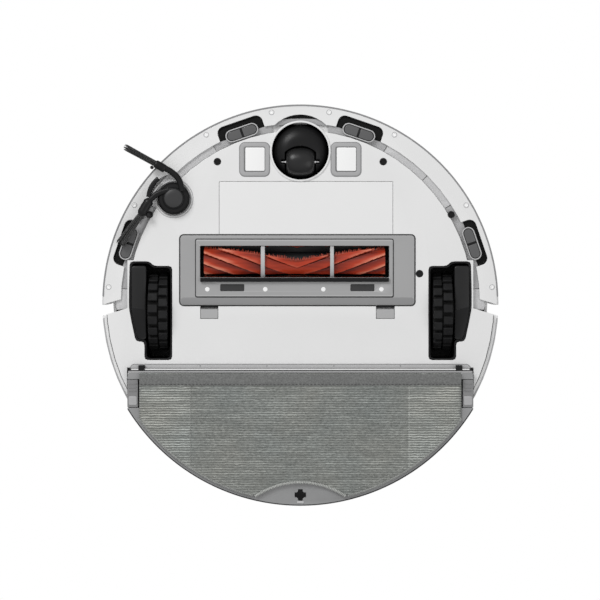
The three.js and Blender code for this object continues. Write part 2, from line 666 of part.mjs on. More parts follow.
// ---- Top: laser turret, buttons, lid ------------------------------------------------------
// Modelled about the turret's own axis.

const POST_RADIUS = 43;
const POSTS = [90, 210, 330].map((angle) => [
  POST_RADIUS * Math.cos(radians(angle)), POST_RADIUS * Math.sin(radians(angle))]);

function turretBase() {
  const rim = ring(39.5, TURRET_RADIUS, [TURRET_SEAT + GAP, 84.4], [0, 0], 40);
  const posts = POSTS.map((place) => post(place, [84, 91], 2.6, 16));
  return cut(joined([rim, ...posts]), POSTS.map((place) => post(place, [86.2, 95], 1.5, 12)));
}

function turretCap() {
  const roof = turned([[0, 92.2], [TURRET_RADIUS - 0.8, 92.2], [TURRET_RADIUS - 0.3, 93],
    [TURRET_RADIUS - 0.3, TURRET_TOP - 1.5], [TURRET_RADIUS - 2, TURRET_TOP], [0, TURRET_TOP]],
  [0, 0], 48);
  return joined([roof, ...POSTS.map((place) => post(place, [87.6, 93], 1.1, 12))]);
}

function turretRotor() {
  const drum = turned([[0, 82.5], [37, 82.5], [37, 90.4], [0, 90.4]], [0, 0], 36);
  const eyes = block([-16, 16], [-40, -30], [85, 89]);
  return drum.subtract(eyes).add(post([0, 0], [74.5, 83], 2.5, 12));
}

function turretMotor() {
  return post([0, 0], [58, 77.4], 12).subtract(post([0, 0], [74, 80], 3, 12));
}

const turret = new THREE.Group();
turret.position.y = TURRET_Y;
addPiece(turret, 'lidar_base', turretBase(), BLACK);
addPiece(turret, 'lidar_cap', turretCap(), WHITE);
addPiece(turret, 'lidar_rotor', turretRotor(), BLACK);
addPiece(turret, 'lidar_motor', turretMotor(), GRAY);

const topParts = new THREE.Group();
for (const [name, x] of Object.entries(BUTTONS)) {
  const cap = turned([[0, 75], [7.2, 75], [7.2, 76.6], [6, 76.6], [6, 80.9], [5.4, 81.5],
    [0, 81.5]], [x, BUTTON_Y], 20);
  addPiece(topParts, name, cap, LIGHT_GRAY);
}

function binLid() {
  const panel = slab(roundedRectangle([-LID_X, LID_X], LID_Y, 0.6), [78.6, COVER_TOP]);
  const pins = rod([-LID_X - 1.8, LID_X + 1.8], LID_AXIS, 0.9, 16);
  return panel.add(pins);
}

addPiece(topParts, 'bin_lid', binLid(), WHITE);

// ---- Inside: dust bin, fan, battery, board ------------------------------------------------

const BIN_X = [-62, 52];
const BIN_Y = [12, 104];
const BIN_Z = [33, 74];

function dustBin() {
  const hollow = block([BIN_X[0] + 1.8, BIN_X[1] - 1.8], [BIN_Y[0] + 1.8, BIN_Y[1] - 1.8],
    [BIN_Z[0] + 1.8, 90]);
  const inlet = block([-33.5, 23.5], [0, 20], [BIN_Z[0] + 1.8, 42]);
  const outlet = block([-30, 20], [100, 110], [45, 68]);
  return cut(block(BIN_X, BIN_Y, BIN_Z), [hollow, inlet, outlet]);
}

function binFilter() {
  const frame = block([-29.7, 19.7], [BIN_Y[1] - 3.4, BIN_Y[1]], [45.3, 67.7]);
  const slots = [];
  for (let x = -27; x < 16; x += 4) slots.push(block([x, x + 2.4], [90, 103], [47, 66]));
  return cut(frame, slots);
}

function suctionFan() {
  const volute = post([84, 66], [34, 62], 22.5).add(block([61.5, 84], [66, 104], [38, 60]));
  return cut(volute, [post([84, 66], [55, 70], 12, 24), block([64, 82], [80, 110], [41, 57])]);
}

const inside = new THREE.Group();
addPiece(inside, 'dust_bin', dustBin(), SMOKE);
addPiece(inside, 'bin_cover', block(BIN_X, BIN_Y, [BIN_Z[1] + GAP, BIN_Z[1] + 2]), BLACK);
addPiece(inside, 'bin_filter', binFilter(), LIGHT_GRAY);
addPiece(inside, 'suction_fan', suctionFan(), BLACK);
addPiece(inside, 'battery_pack', block([-66, 76], [-102, -63], [14, 42]), BLACK);
addPiece(inside, 'circuit_board', block([-70, 70], [-112, -66], [46, 47.6]), GREEN);

// ---- Water tank with its mop cloth --------------------------------------------------------

const LATCH_X = [141, TANK_SIDE];
const LATCH_Y = [66, 90.3];
const CLOTH_FRONT = 60.7;

function waterTank() {
  const shell = slab(halfMoon(0), [TANK_BOTTOM, TANK_TOP], 28);
  const hollow = slab(halfMoon(15), [TANK_BOTTOM + 3, TANK_TOP - 2.5], 14);
  const latchSpace = [];
  for (const side of [-1, 1]) {
    const x = [side * 138.6, side * 155].sort((a, b) => a - b);
    latchSpace.push(block(x, [LATCH_Y[0] - GAP, LATCH_Y[1] + GAP], [0, 22]));
  }
  const keyHole = [
    block([-4.8, 4.8], [164.3, 168.3], [0, TANK_BOTTOM + 2.5]),
    block([-2, 2], [161.5, 171.1], [0, TANK_BOTTOM + 2.5]),
  ];
  return cut(shell, [hollow, ...latchSpace, ...keyHole,
    post([-100, 84], [TANK_TOP - 5, TANK_TOP + 5], 8, 24)]);
}

function tankPlug() {
  return turned([[0, TANK_TOP - 4], [7.6, TANK_TOP - 4], [7.6, TANK_TOP + 0.6], [0, TANK_TOP + 0.6]],
    [-100, 84], 24);
}

// The cloth follows the tank's arc, with a crescent cut out at the back over the keyhole.
function mopCloth() {
  const side = 139.8;
  const radius = 172.5;
  const reach = Math.acos(side / radius);
  const shape = new THREE.Shape();
  shape.moveTo(-side, CLOTH_FRONT);
  shape.lineTo(side, CLOTH_FRONT);
  shape.absarc(0, BODY_Y, radius, reach, Math.PI - reach);
  const crescent = post([0, 215.3], [-5, 10], 58.3, 48);
  return slab(shape, [CLOTH_BOTTOM, TANK_BOTTOM - GAP], 24).subtract(crescent);
}

const mop = new THREE.Group();
addPiece(mop, 'water_tank', waterTank(), SMOKE);
addPiece(mop, 'tank_plug', tankPlug(), BLACK);
addPiece(mop, 'mop_cloth', mopCloth(), CLOTH);
for (const [side, sign] of [['left', -1], ['right', 1]]) {
  const x = LATCH_X.map((edge) => edge * sign).sort((a, b) => a - b);
  addPiece(mop, `tank_latch_${side}`, block(x, LATCH_Y, [TANK_BOTTOM + 0.4, 21.7]), SMOKE);
}

// ---- The whole robot ----------------------------------------------------------------------

const robot = new THREE.Group();
robot.add(casings, front, leftWheel, rightWheel, mainBrush, sweeper, caster, sensors, turret,
  topParts, inside, mop);

export default robot;
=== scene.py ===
import math
import random

import bmesh
import bpy
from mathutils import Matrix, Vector, noise


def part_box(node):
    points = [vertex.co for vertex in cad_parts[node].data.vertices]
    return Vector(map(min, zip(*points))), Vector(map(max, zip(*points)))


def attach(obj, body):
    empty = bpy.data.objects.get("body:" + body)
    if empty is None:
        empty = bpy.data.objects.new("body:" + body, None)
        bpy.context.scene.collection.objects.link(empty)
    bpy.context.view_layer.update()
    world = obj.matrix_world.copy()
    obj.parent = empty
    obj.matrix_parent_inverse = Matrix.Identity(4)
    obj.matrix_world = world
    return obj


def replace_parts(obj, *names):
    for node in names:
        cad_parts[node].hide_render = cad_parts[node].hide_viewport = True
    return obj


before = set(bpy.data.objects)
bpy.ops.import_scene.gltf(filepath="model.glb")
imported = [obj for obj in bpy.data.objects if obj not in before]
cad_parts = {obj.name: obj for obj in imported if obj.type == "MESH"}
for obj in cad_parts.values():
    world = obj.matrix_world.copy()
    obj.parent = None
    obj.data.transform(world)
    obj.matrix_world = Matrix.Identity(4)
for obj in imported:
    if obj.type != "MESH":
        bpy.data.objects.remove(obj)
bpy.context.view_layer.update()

# The looks of a round robot vacuum, seen from below. Shapes are written in millimetres and
# scaled to metres when a mesh is made. The front, with the bumper, faces -Y.

MM = 0.001
scene = bpy.context.scene


def span(node):
    """The CAD node's box as (low, high) corners in millimetres."""
    low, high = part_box(node)
    return low / MM, high / MM


def middle(node):
    """The middle of the CAD node's box in millimetres."""
    low, high = span(node)
    return (low + high) / 2


# ---- Places read from the frame --------------------------------------------------------------

BODY_Y = -0.8                      # centre of the round body
BELLY = 10.0                       # height of the chassis' underside
BODY_RADIUS = span("bumper")[1].x
TANK_RADIUS = span("water_tank")[1].y - BODY_Y
cloth_low, cloth_high = span("mop_cloth")
tyre_low, tyre_high = span("drive_tyre_left")
fins_low, fins_high = span("brush_fins")
cover_low, cover_high = span("brush_cover")
SIDE_BRUSH = middle("side_brush_motor").xy
CASTER = Vector((0, middle("caster_fork").y))
WHEEL_RADIUS = (tyre_high.z - tyre_low.z) / 2
WHEEL_CENTRE = middle("drive_tyre_left").yz
ROLLER_CENTRE = middle("brush_fins").yz
ROLLER_APEX = -3.0                 # where the vanes of the roller change their slant


# ---- Materials -------------------------------------------------------------------------------

class Nodes:
    """Short names for building the node tree of a material or a world."""

    def __init__(self, name, kind=bpy.data.materials, shader="Principled BSDF"):
        self.owner = kind.new(name)
        self.owner.use_nodes = True
        self.tree = self.owner.node_tree
        self.shader = self.tree.nodes[shader]
        self.coordinates = self.add("ShaderNodeTexCoord").outputs
        self.place = self.coordinates["Object"]

    def feed(self, node, inputs):
        """Gives each named or numbered input a value, or the output that it takes it from."""
        for key, value in inputs.items():
            socket = node.inputs[key]
            if isinstance(value, bpy.types.NodeSocket):
                self.tree.links.new(value, socket)
            elif socket.type == "RGBA":
                socket.default_value = (*value, 1.0)
            else:
                socket.default_value = value

    def add(self, kind, inputs=None, **settings):
        node = self.tree.nodes.new(kind)
        for key, value in settings.items():
            setattr(node, key, value)
        self.feed(node, inputs or {})
        return node

    def surface(self, colour, rough, normal, others=None):
        """Wires up the shader and hands back the finished material."""
        self.feed(self.shader, {"Base Color": colour, "Roughness": rough, "Normal": normal})
        self.feed(self.shader, others or {})
        return self.owner

    def stretched(self, x, y, z):
        """Object coordinates multiplied along each axis, for grain that runs one way."""
        return self.add("ShaderNodeMapping", {"Scale": (x, y, z), "Vector": self.place}).outputs[0]

    def noise(self, scale, detail=3.0, vector=None):
        inputs = {"Scale": scale, "Detail": detail, "Vector": vector or self.place}
        return self.add("ShaderNodeTexNoise", inputs).outputs["Fac"]

    def ramp(self, value, stops):
        node = self.add("ShaderNodeValToRGB", {"Fac": value})
        elements = node.color_ramp.elements
        while len(elements) < len(stops):
            elements.new(0.5)
        for element, (position, colour) in zip(elements, stops):
            element.position = position
            element.color = (*colour, 1.0)
        return node.outputs["Color"]

    def fit(self, value, low, high, source=(0.3, 0.7)):
        """Maps a noise value onto a range."""
        inputs = {"Value": value, "From Min": source[0], "From Max": source[1],
                  "To Min": low, "To Max": high}
        return self.add("ShaderNodeMapRange", inputs).outputs["Result"]

    def blend(self, factor, first, second, kind="MIX"):
        inputs = {0: factor, 6: first, 7: second}
        return self.add("ShaderNodeMix", inputs, data_type="RGBA", blend_type=kind).outputs[2]

    def maths(self, kind, first, second=0.5):
        return self.add("ShaderNodeMath", {0: first, 1: second}, operation=kind).outputs[0]

    def bump(self, height, depth_mm, strength=1.0, under=None):
        inputs = {"Height": height, "Distance": depth_mm * MM, "Strength": strength}
        if under is not None:
            inputs["Normal"] = under
        return self.add("ShaderNodeBump", inputs).outputs["Normal"]

    def edges(self, low=0.53, high=0.6):
        """0 on flat stretches and 1 on outer corners: where handling rubs, and on the smoked tank
        where its painted highlight goes.
        """
        pointiness = self.add("ShaderNodeNewGeometry").outputs["Pointiness"]
        return self.fit(pointiness, 0.0, 1.0, (low, high))


def scaled(colour, factor):
    """A colour made lighter or darker, up to white."""
    return tuple(min(1.0, channel * factor) for channel in colour)


def plastic(name, colour, rough, grain_mm=0.02, wear=1.1, vary=0.03, coat=0.0, gloss=0.5):
    """A moulded surface: fine spark grain, slow drift in tone and gloss, and rubbed corners."""
    n = Nodes(name)
    drift = n.ramp(n.noise(14.0, 4.0), [(0.3, scaled(colour, 1 - vary)),
                                        (0.7, scaled(colour, 1 + vary))])
    return n.surface(n.blend(n.edges(), drift, scaled(colour, wear)),
                     n.fit(n.noise(90.0), rough * 0.88, rough * 1.12),
                     n.bump(n.noise(2600.0, 2.0), grain_mm, 0.35),
                     {"Specular IOR Level": gloss, "Coat Weight": coat, "Coat Roughness": 0.12})


def brushed_metal(name, colour, rough, along=(40.0, 1800.0, 1800.0)):
    """Ground steel: fine lines one way, with a few deeper scratches."""
    n = Nodes(name)
    lines = n.noise(1.0, 4.0, n.stretched(*along))
    tone = n.ramp(lines, [(0.25, scaled(colour, 0.93)), (0.75, scaled(colour, 1.04))])
    return n.surface(n.blend(n.edges(), tone, scaled(colour, 1.08)),
                     n.fit(lines, rough * 0.8, rough * 1.25), n.bump(lines, 0.01, 0.3),
                     {"Metallic": 1.0})


def rubber(name, colour, rough=0.8):
    """Matt rubber with a dusty bloom that stays off the rubbed corners."""
    n = Nodes(name)
    bloom = n.ramp(n.noise(120.0, 6.0), [(0.35, colour), (0.75, scaled(colour, 1.7))])
    return n.surface(n.blend(n.edges(), bloom, scaled(colour, 0.8)),
                     n.fit(n.noise(300.0), rough - 0.1, rough + 0.1),
                     n.bump(n.noise(1400.0), 0.05, 0.4), {"Specular IOR Level": 0.2})


def bristle_plastic(name, dark, light, rough=0.38):
    """Nylon filament: streaks that run along the brush, glossy on their crests."""
    n = Nodes(name)
    streaks = n.noise(1.0, 3.0, n.stretched(90.0, 900.0, 900.0))
    return n.surface(n.ramp(streaks, [(0.3, dark), (0.72, light)]),
                     n.fit(streaks, rough + 0.12, rough - 0.1), n.bump(streaks, 0.12, 0.5),
                     {"Sheen Weight": 0.25, "Sheen Roughness": 0.4})


def blade_rubber(name):
    """Soft translucent rubber under a satin gloss, coloured by painted shade in its folds and a
    painted highlight on their crests.
    """
    n = Nodes(name)
    # A per-vertex value of painted shade and painted highlight on the vanes' folds, made in
    # vane_back.
    painted_fold_shading = n.add("ShaderNodeAttribute", attribute_name="painted_fold_shading").outputs["Fac"]
    streaks = n.noise(1.0, 3.0, n.stretched(30.0, 220.0, 220.0))
    level = n.maths("ADD", painted_fold_shading, n.fit(streaks, -0.12, 0.12))
    stops = [(0.0, (0.05, 0.004, 0.002)), (0.3, (0.18, 0.014, 0.005)),
             (0.62, (0.46, 0.04, 0.011)), (1.0, (0.74, 0.24, 0.15))]
    grain = n.noise(1.0, 2.0, n.stretched(60.0, 500.0, 500.0))
    return n.surface(n.ramp(level, stops), n.fit(n.noise(60.0), 0.34, 0.46),
                     n.bump(grain, 0.12, 0.35),
                     {"Specular IOR Level": 0.3, "Coat Weight": 0.16, "Coat Roughness": 0.2})


def smoked_plastic(name):
    """Smoked polycarbonate: cloudy gray, paler where its corners catch the light."""
    n = Nodes(name)
    cloud = n.ramp(n.noise(22.0, 5.0), [(0.35, (0.21, 0.211, 0.212)), (0.7, (0.31, 0.311, 0.312))])
    return n.surface(n.blend(n.edges(0.51, 0.58), cloud, (0.32, 0.325, 0.33)),
                     n.fit(n.noise(70.0), 0.2, 0.3), n.bump(n.noise(1600.0, 2.0), 0.01, 0.25),
                     {"Coat Weight": 0.5, "Coat Roughness": 0.08, "IOR": 1.58})


def mop_fabric(name, brightness=1.06, regular=0.36):
    """Ribbed microfibre: thin crinkled light lines along X on a gray ground, with fine loops."""
    n = Nodes(name)
    lines = n.add("ShaderNodeTexWave", {"Scale": 148.0, "Distortion": 2.2, "Detail": 4.0,
                                        "Detail Scale": 1.4, "Vector": n.place},
                  bands_direction="Y", wave_profile="SIN")
    crinkle = n.noise(1.0, 4.0, n.stretched(420.0, 760.0, 400.0))
    strand = n.fit(n.noise(1.0, 3.0, n.stretched(26.0, 330.0, 300.0)), 0.35, 1.25)
    ribs = n.maths("MULTIPLY", lines.outputs["Fac"], strand)
    both = n.maths("ADD", n.maths("MULTIPLY", ribs, regular),
                   n.maths("MULTIPLY", crinkle, 1.0 - regular))
    stops = ((0.2, (0.11, 0.114, 0.108)), (0.42, (0.19, 0.195, 0.187)),
             (0.56, (0.255, 0.262, 0.25)), (0.78, (0.44, 0.45, 0.43)))
    ground = n.ramp(both, [(at, scaled(colour, brightness)) for at, colour in stops])
    tint = n.ramp(n.noise(18.0, 3.0), [(0.35, (0.95, 0.99, 0.99)), (0.68, (1.03, 1.02, 0.98))])
    toned = n.blend(1.0, ground, tint, "MULTIPLY")
    loops = n.noise(1500.0, 3.0)
    return n.surface(n.blend(n.fit(loops, 0.0, 0.4, (0.52, 0.7)), toned, (0.42, 0.43, 0.42)),
                     n.fit(loops, 0.85, 1.0),
                     n.bump(loops, 0.4, 0.8, under=n.bump(both, 0.9, 0.8)),
                     {"Sheen Weight": 0.4, "Sheen Roughness": 0.5, "Specular IOR Level": 0.2})


def felt(name, colour):
    """Pressed felt or webbing tape: short fibres with no direction."""
    n = Nodes(name)
    fibres = n.noise(900.0, 8.0)
    return n.surface(n.ramp(fibres, [(0.3, scaled(colour, 0.72)), (0.7, scaled(colour, 1.3))]),
                     n.fit(fibres, 0.85, 1.0), n.bump(fibres, 0.25, 0.6),
                     {"Sheen Weight": 0.4, "Sheen Roughness": 0.5})


def green_board(name):
    """A lacquered circuit board with a grid of paler tracks."""
    n = Nodes(name)
    tracks = n.add("ShaderNodeTexBrick", {"Scale": 220.0, "Vector": n.place}).outputs["Fac"]
    return n.surface(n.blend(n.fit(tracks, 0.0, 0.5, (0.0, 1.0)), (0.02, 0.09, 0.04),
                             (0.05, 0.2, 0.09)),
                     n.fit(n.noise(200.0), 0.35, 0.5), n.bump(n.noise(900.0), 0.05, 0.3))


WHITE = plastic("white_shell", (0.82, 0.82, 0.82), 0.42, wear=1.08, vary=0.015, coat=0.15)
CHANNEL = plastic("channel_gray", (0.42, 0.42, 0.425), 0.5)
CHANNEL_LIGHT = plastic("channel_light", (0.56, 0.56, 0.565), 0.5)
EDGE_GRAY = plastic("edge_gray", (0.27, 0.27, 0.275), 0.5)
COVER_GRAY = plastic("cover_gray", (0.375, 0.375, 0.377), 0.42, wear=1.25)
LIGHT_GRAY = plastic("light_gray", (0.50, 0.50, 0.503), 0.45, wear=1.2)
# Dark gray for the cover's small insets, and painted shade in gaps, grooves and along the tank's
# turned edge.
DARK_LINE = plastic("dark_gray_and_painted_shade", (0.045, 0.045, 0.046), 0.6, gloss=0.25)
BLACK = plastic("black_plastic", (0.0085, 0.0085, 0.009), 0.36, wear=2.4, vary=0.15, gloss=0.22)
GLOSS_BLACK = plastic("gloss_black", (0.006, 0.006, 0.0065), 0.18, 0.006, 2.0, gloss=0.3)
LENS = plastic("sensor_lens", (0.115, 0.115, 0.117), 0.22, grain_mm=0.003, gloss=0.4)
TYRE = rubber("tyre_rubber", (0.0105, 0.0105, 0.011), 0.6)
RUBBER = rubber("black_rubber", (0.0075, 0.0075, 0.008), 0.55)
STEEL = brushed_metal("ground_steel", (0.86, 0.86, 0.87), 0.22)
ORANGE = blade_rubber("orange_blade")
ORANGE_TIP = bristle_plastic("orange_bristle", (0.24, 0.026, 0.012), (0.5, 0.08, 0.04))
BRISTLE = bristle_plastic("black_bristle", (0.008, 0.008, 0.008), (0.05, 0.05, 0.05))
SMOKE = smoked_plastic("smoked_tank")
CLOTH = mop_fabric("mop_cloth")
FELT = felt("hem_felt", (0.165, 0.168, 0.165))
STITCH = felt("light_thread", (0.47, 0.48, 0.46))
DARK_STITCH = felt("dark_thread", (0.05, 0.05, 0.05))
FILTER = felt("filter_paper", (0.7, 0.7, 0.68))
BOARD = green_board("circuit_board")
BAND_GRAY = plastic("cover_band_gray", (0.27, 0.27, 0.273), 0.45)
CAP_GRAY = plastic("sweeper_cap_gray", (0.043, 0.043, 0.044), 0.42, gloss=0.3)
SATIN_BLACK = plastic("satin_black", (0.014, 0.014, 0.0145), 0.38, wear=1.6, gloss=0.3)
BARREL = plastic("caster_barrel", (0.016, 0.016, 0.0165), 0.3, wear=1.5, gloss=0.35)
LATCH_GRAY = plastic("latch_gray", (0.185, 0.185, 0.187), 0.38, wear=1.5)
RIM_THREAD = felt("rim_thread", (0.36, 0.37, 0.355))
POLISHED = plastic("plated_contact", (0.97, 0.97, 0.97), 0.3, wear=1.02, vary=0.01, coat=0.3)
SCREW_WHITE = plastic("screw_white", (0.96, 0.96, 0.96), 0.3, vary=0.005, coat=0.3)
# Matt black for the tyre carcass, and painted shade in the sensor notches, the gap ahead of the
# caster and the key socket.
NOTCH_BLACK = plastic("matt_black_and_painted_shade", (0.009, 0.009, 0.009), 0.7, gloss=0.1)
CLOTH_SIDE = mop_fabric("mop_cloth_side", 1.38, 0.56)


# ---- Mesh helpers ----------------------------------------------------------------------------

def finish_mesh(name, mesh, material, sharp=35.0):
    """Smooths a mesh up to the sharp angle in degrees, and makes an object of it."""
    for polygon in mesh.polygons:
        polygon.use_smooth = True
    mesh.set_sharp_from_angle(angle=math.radians(sharp))
    mesh.materials.append(material)
    piece = bpy.data.objects.new(name, mesh)
    scene.collection.objects.link(piece)
    return piece


def from_bmesh(name, bm, material, sharp=35.0):
    """Turns a bmesh in millimetres into an object in metres, with its faces pointing out."""
    bmesh.ops.recalc_face_normals(bm, faces=bm.faces)
    bmesh.ops.scale(bm, vec=Vector((MM, MM, MM)), verts=bm.verts)
    mesh = bpy.data.meshes.new(name)
    bm.to_mesh(mesh)
    bm.free()
    return finish_mesh(name, mesh, material, sharp)


def evaluated_mesh(piece):
    """A copy of a piece's shape with its modifiers, or a curve's as a mesh."""
    bpy.context.view_layer.update()
    depsgraph = bpy.context.evaluated_depsgraph_get()
    return bpy.data.meshes.new_from_object(piece.evaluated_get(depsgraph))


CORNER_DEGREES = 32.0               # a sharper turn than this is a corner


def soften(piece, width_mm, segments):
    """Rounds every corner a little, as moulded pieces are."""
    bevel = piece.modifiers.new("rounded", "BEVEL")
    bevel.width = width_mm * MM
    bevel.segments = segments
    bevel.limit_method = "ANGLE"
    bevel.angle_limit = math.radians(CORNER_DEGREES)
    bevel.use_clamp_overlap = False
    return piece


def carve(piece, *cutters):
    """Cuts the cutters out of the piece for good, and removes them."""
    for cutter in cutters:
        boolean = piece.modifiers.new("cut", "BOOLEAN")
        boolean.operation = "DIFFERENCE"
        boolean.solver = "EXACT"
        boolean.object = cutter
    mesh = evaluated_mesh(piece)
    material = piece.data.materials[0]
    piece.modifiers.clear()
    piece.data = mesh
    mesh.materials.clear()
    mesh.materials.append(material)
    for cutter in cutters:
        bpy.data.objects.remove(cutter)
    return piece


def on_body(piece, body="body"):
    """Ties a piece to the CAD body that it moves with."""
    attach(piece, body)
    return piece


def arc(centre, radius, first, last, steps):
    """Points from one angle to another, in degrees, with 0 along +X."""
    turns = [math.radians(first + (last - first) * i / steps) for i in range(steps + 1)]
    return [(centre[0] + radius * math.cos(a), centre[1] + radius * math.sin(a)) for a in turns]


def rounded_box(x, y, radius):
    """The outline of a box between two x and two y, with four round corners."""
    corners = ((x[1] - radius, y[0] + radius, -90), (x[1] - radius, y[1] - radius, 0),
               (x[0] + radius, y[1] - radius, 90), (x[0] + radius, y[0] + radius, 180))
    return [point for cx, cy, start in corners
            for point in arc((cx, cy), radius, start, start + 90, 5)]


def plate(name, outlines, z, edge, material):
    """A flat piece with rounded edges: the first outline is its rim and the others are holes."""
    curve = bpy.data.curves.new(name, "CURVE")
    curve.dimensions = "2D"
    curve.fill_mode = "BOTH"
    curve.extrude = ((z[1] - z[0]) / 2 - edge) * MM
    curve.bevel_depth = edge * MM
    curve.bevel_resolution = 2
    curve.offset = -edge * MM
    for outline in outlines:
        spline = curve.splines.new("POLY")
        spline.points.add(len(outline) - 1)
        for point, (x, y) in zip(spline.points, outline):
            point.co = (x * MM, y * MM, 0, 1)
        spline.use_cyclic_u = True
    holder = bpy.data.objects.new(name + "_curve", curve)
    scene.collection.objects.link(holder)
    mesh = evaluated_mesh(holder)
    bpy.data.objects.remove(holder)
    bpy.data.curves.remove(curve)
    bm = bmesh.new()
    bm.from_mesh(mesh)
    bpy.data.meshes.remove(mesh)
    bmesh.ops.remove_doubles(bm, verts=bm.verts, dist=0.001 * MM)
    bmesh.ops.scale(bm, vec=Vector((1 / MM, 1 / MM, 1 / MM)), verts=bm.verts)
    bmesh.ops.translate(bm, vec=Vector((0, 0, (z[0] + z[1]) / 2)), verts=bm.verts)
    return from_bmesh(name, bm, material)


def add_plate(name, outlines, z, edge, material, slot, body="body"):
    return on_body(plate(name, outlines, z, edge, material), body)


def lathe(name, profile, centre, material, sides=96, along="Z"):
    """A closed [radius, height] profile turned about an upright axis, or about one along X."""
    bm = bmesh.new()
    rings = []
    for radius, height in profile:
        ring = []
        for i in range(1 if radius == 0 else sides):
            turn = math.tau * i / sides
            across = (centre[0] + radius * math.cos(turn), centre[1] + radius * math.sin(turn))
            ring.append(bm.verts.new((*across, height) if along == "Z" else (height, *across)))
        rings.append(ring)
    closed = profile[0][0] > 0
    pairs = list(zip(rings, rings[1:])) + ([(rings[-1], rings[0])] if closed else [])
    for first, second in pairs:
        for i in range(sides):
            j = (i + 1) % sides
            corners = [first[i % len(first)], first[j % len(first)],
                       second[j % len(second)], second[i % len(second)]]
            kept = [v for k, v in enumerate(corners) if v is not corners[k - 1]]
            if len(kept) > 2:
                bm.faces.new(kept)
    return from_bmesh(name, bm, material)


def add_lathe(name, profile, centre, material, body="body", sides=96):
    return on_body(lathe(name, profile, centre, material, sides), body)


def box_faces(bm, corners):
    """Closes the six sides of a block, from its eight corners in binary order."""
    for face in ((0, 1, 3, 2), (4, 6, 7, 5), (0, 4, 5, 1), (2, 3, 7, 6), (0, 2, 6, 4),
                 (1, 5, 7, 3)):
        bm.faces.new([corners[i] for i in face])


def sleeve(bm, rows):
    """Joins rings of vertices into a closed sleeve; hands back its wall faces, ring by ring."""
    count = len(rows[0])
    walls = [bm.faces.new([first[k], first[(k + 1) % count], second[(k + 1) % count], second[k]])
             for first, second in zip(rows, rows[1:]) for k in range(count)]
    bm.faces.new(list(reversed(rows[0])))
    bm.faces.new(rows[-1])
    return walls


def smooth_path(points, steps):
    """Points evenly spread along a Catmull-Rom line through the given ones."""
    ends = [2 * points[0] - points[1], *points, 2 * points[-1] - points[-2]]
    line = []
    for i in range(len(points) - 1):
        a, b, c, d = ends[i:i + 4]
        for k in range(steps):
            t = k / steps
            line.append(0.5 * ((2 * b) + (c - a) * t + (2 * a - 5 * b + 4 * c - d) * t * t
                               + (3 * b - a - 3 * c + d) * t ** 3))
    return line + [points[-1].copy()]


def flat_line(points, height, steps):
    """A smooth line at one height through (x, y) points."""
    return smooth_path([Vector((x, y, height)) for x, y in points], steps)


def heading(line, i):
    """The direction of a line at its point i, and the level direction square to it."""
    ahead = (line[min(i + 1, len(line) - 1)] - line[max(i - 1, 0)]).normalized()
    return ahead, ahead.cross(Vector((0, 0, 1)))


def add_tube(bm, line, radii, sides=10, flat=1.0):
    """Adds a closed tube along a line; flat squashes its section towards the X-Y plane."""
    rings = []
    for i, (point, radius) in enumerate(zip(line, radii)):
        ahead, side = heading(line, i)
        side = side.normalized() if side.length > 1e-4 else Vector((1, 0, 0))
        up = side.cross(ahead)
        rings.append([bm.verts.new(point + side * radius * math.cos(math.tau * k / sides)
                                   + up * radius * flat * math.sin(math.tau * k / sides))
                      for k in range(sides)])
    sleeve(bm, rings)


WELD_MM = 0.002
FACET_DEGREES = 0.5                 # faces nearer to level than this are merged


def dress(node, material, round_mm):
    """Gives a CAD node its finish, merges its flat facets and rounds its corners."""
    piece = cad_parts[node]
    mesh = piece.data
    mesh.materials.clear()
    mesh.materials.append(material)
    for polygon in mesh.polygons:
        polygon.use_smooth = True
    mesh.set_sharp_from_angle(angle=math.radians(CORNER_DEGREES))
    joined = piece.modifiers.new("joined", "WELD")
    joined.merge_threshold = WELD_MM * MM
    flat = piece.modifiers.new("flat", "DECIMATE")
    flat.decimate_type = "DISSOLVE"
    flat.angle_limit = math.radians(FACET_DEGREES)
    soften(piece, round_mm, 2)
    piece.modifiers.new("even", "WEIGHTED_NORMAL")


# ---- CAD nodes that keep their own shape ----------------------------------------------------

FINISHES = (
    (WHITE, 0.35, "chassis top_cover battery_cover bumper bin_lid lidar_cap"),
    (BLACK, 0.35, "wheel_housing_left wheel_housing_right brush_chamber brush_motor caster_cup"),
    (BLACK, 0.35, "lidar_base bin_cover suction_fan battery_pack drive_hub_left drive_hub_right"),
    (BLACK, 0.35, "drive_motor_left drive_motor_right"),
    (BLACK, 1.6, "swing_arm_left swing_arm_right"),
    (BLACK, 0.3, "brush_core"),
    (COVER_GRAY, 0.35, "exhaust_grille side_brush_motor lidar_motor"),
    (COVER_GRAY, 0.5, "brush_latch_left brush_latch_right"),
    (STEEL, 0.2, "suspension_pin_left suspension_pin_right caster_axle"),
    (GLOSS_BLACK, 0.35, "bumper_window lidar_rotor"),
    (LIGHT_GRAY, 0.5, "power_button dock_button"),
    (SMOKE, 0.6, "water_tank dust_bin"),
    (LATCH_GRAY, 0.6, "tank_latch_left tank_latch_right"),
    (RUBBER, 0.4, "dirt_lip tank_plug"),
    (FILTER, 0.2, "bin_filter"),
    (BOARD, 0.2, "circuit_board"),
)


def dress_frame():
    for material, round_mm, nodes in FINISHES:
        for node in nodes.split():
            dress(node, material, round_mm)


# ---- Underside trim --------------------------------------------------------------------------

CHANNEL_INNER = 150.4
CHANNEL_OUTER = 160.4
CASTER_CLEARANCE = 155.6            # the channel's inner radius ahead of the caster
SEAM_DEGREES = 0.15
BUMPER_SCREW_CIRCLE = 167.6
NOTCH_REACH = 165.4


def ring_part(name, radii, angles, z, edge, material, slot, body="body"):
    """A length of flat ring about the body's middle; angles run from the front, in degrees."""
    first, last = angles
    steps = max(12, round(abs(last - first)))
    outer = arc((0, BODY_Y), radii[1], first - 90, last - 90, steps)
    inner = arc((0, BODY_Y), radii[0], last - 90, first - 90, steps)
    return add_plate(name, [outer + inner], z, edge, material, slot, body)


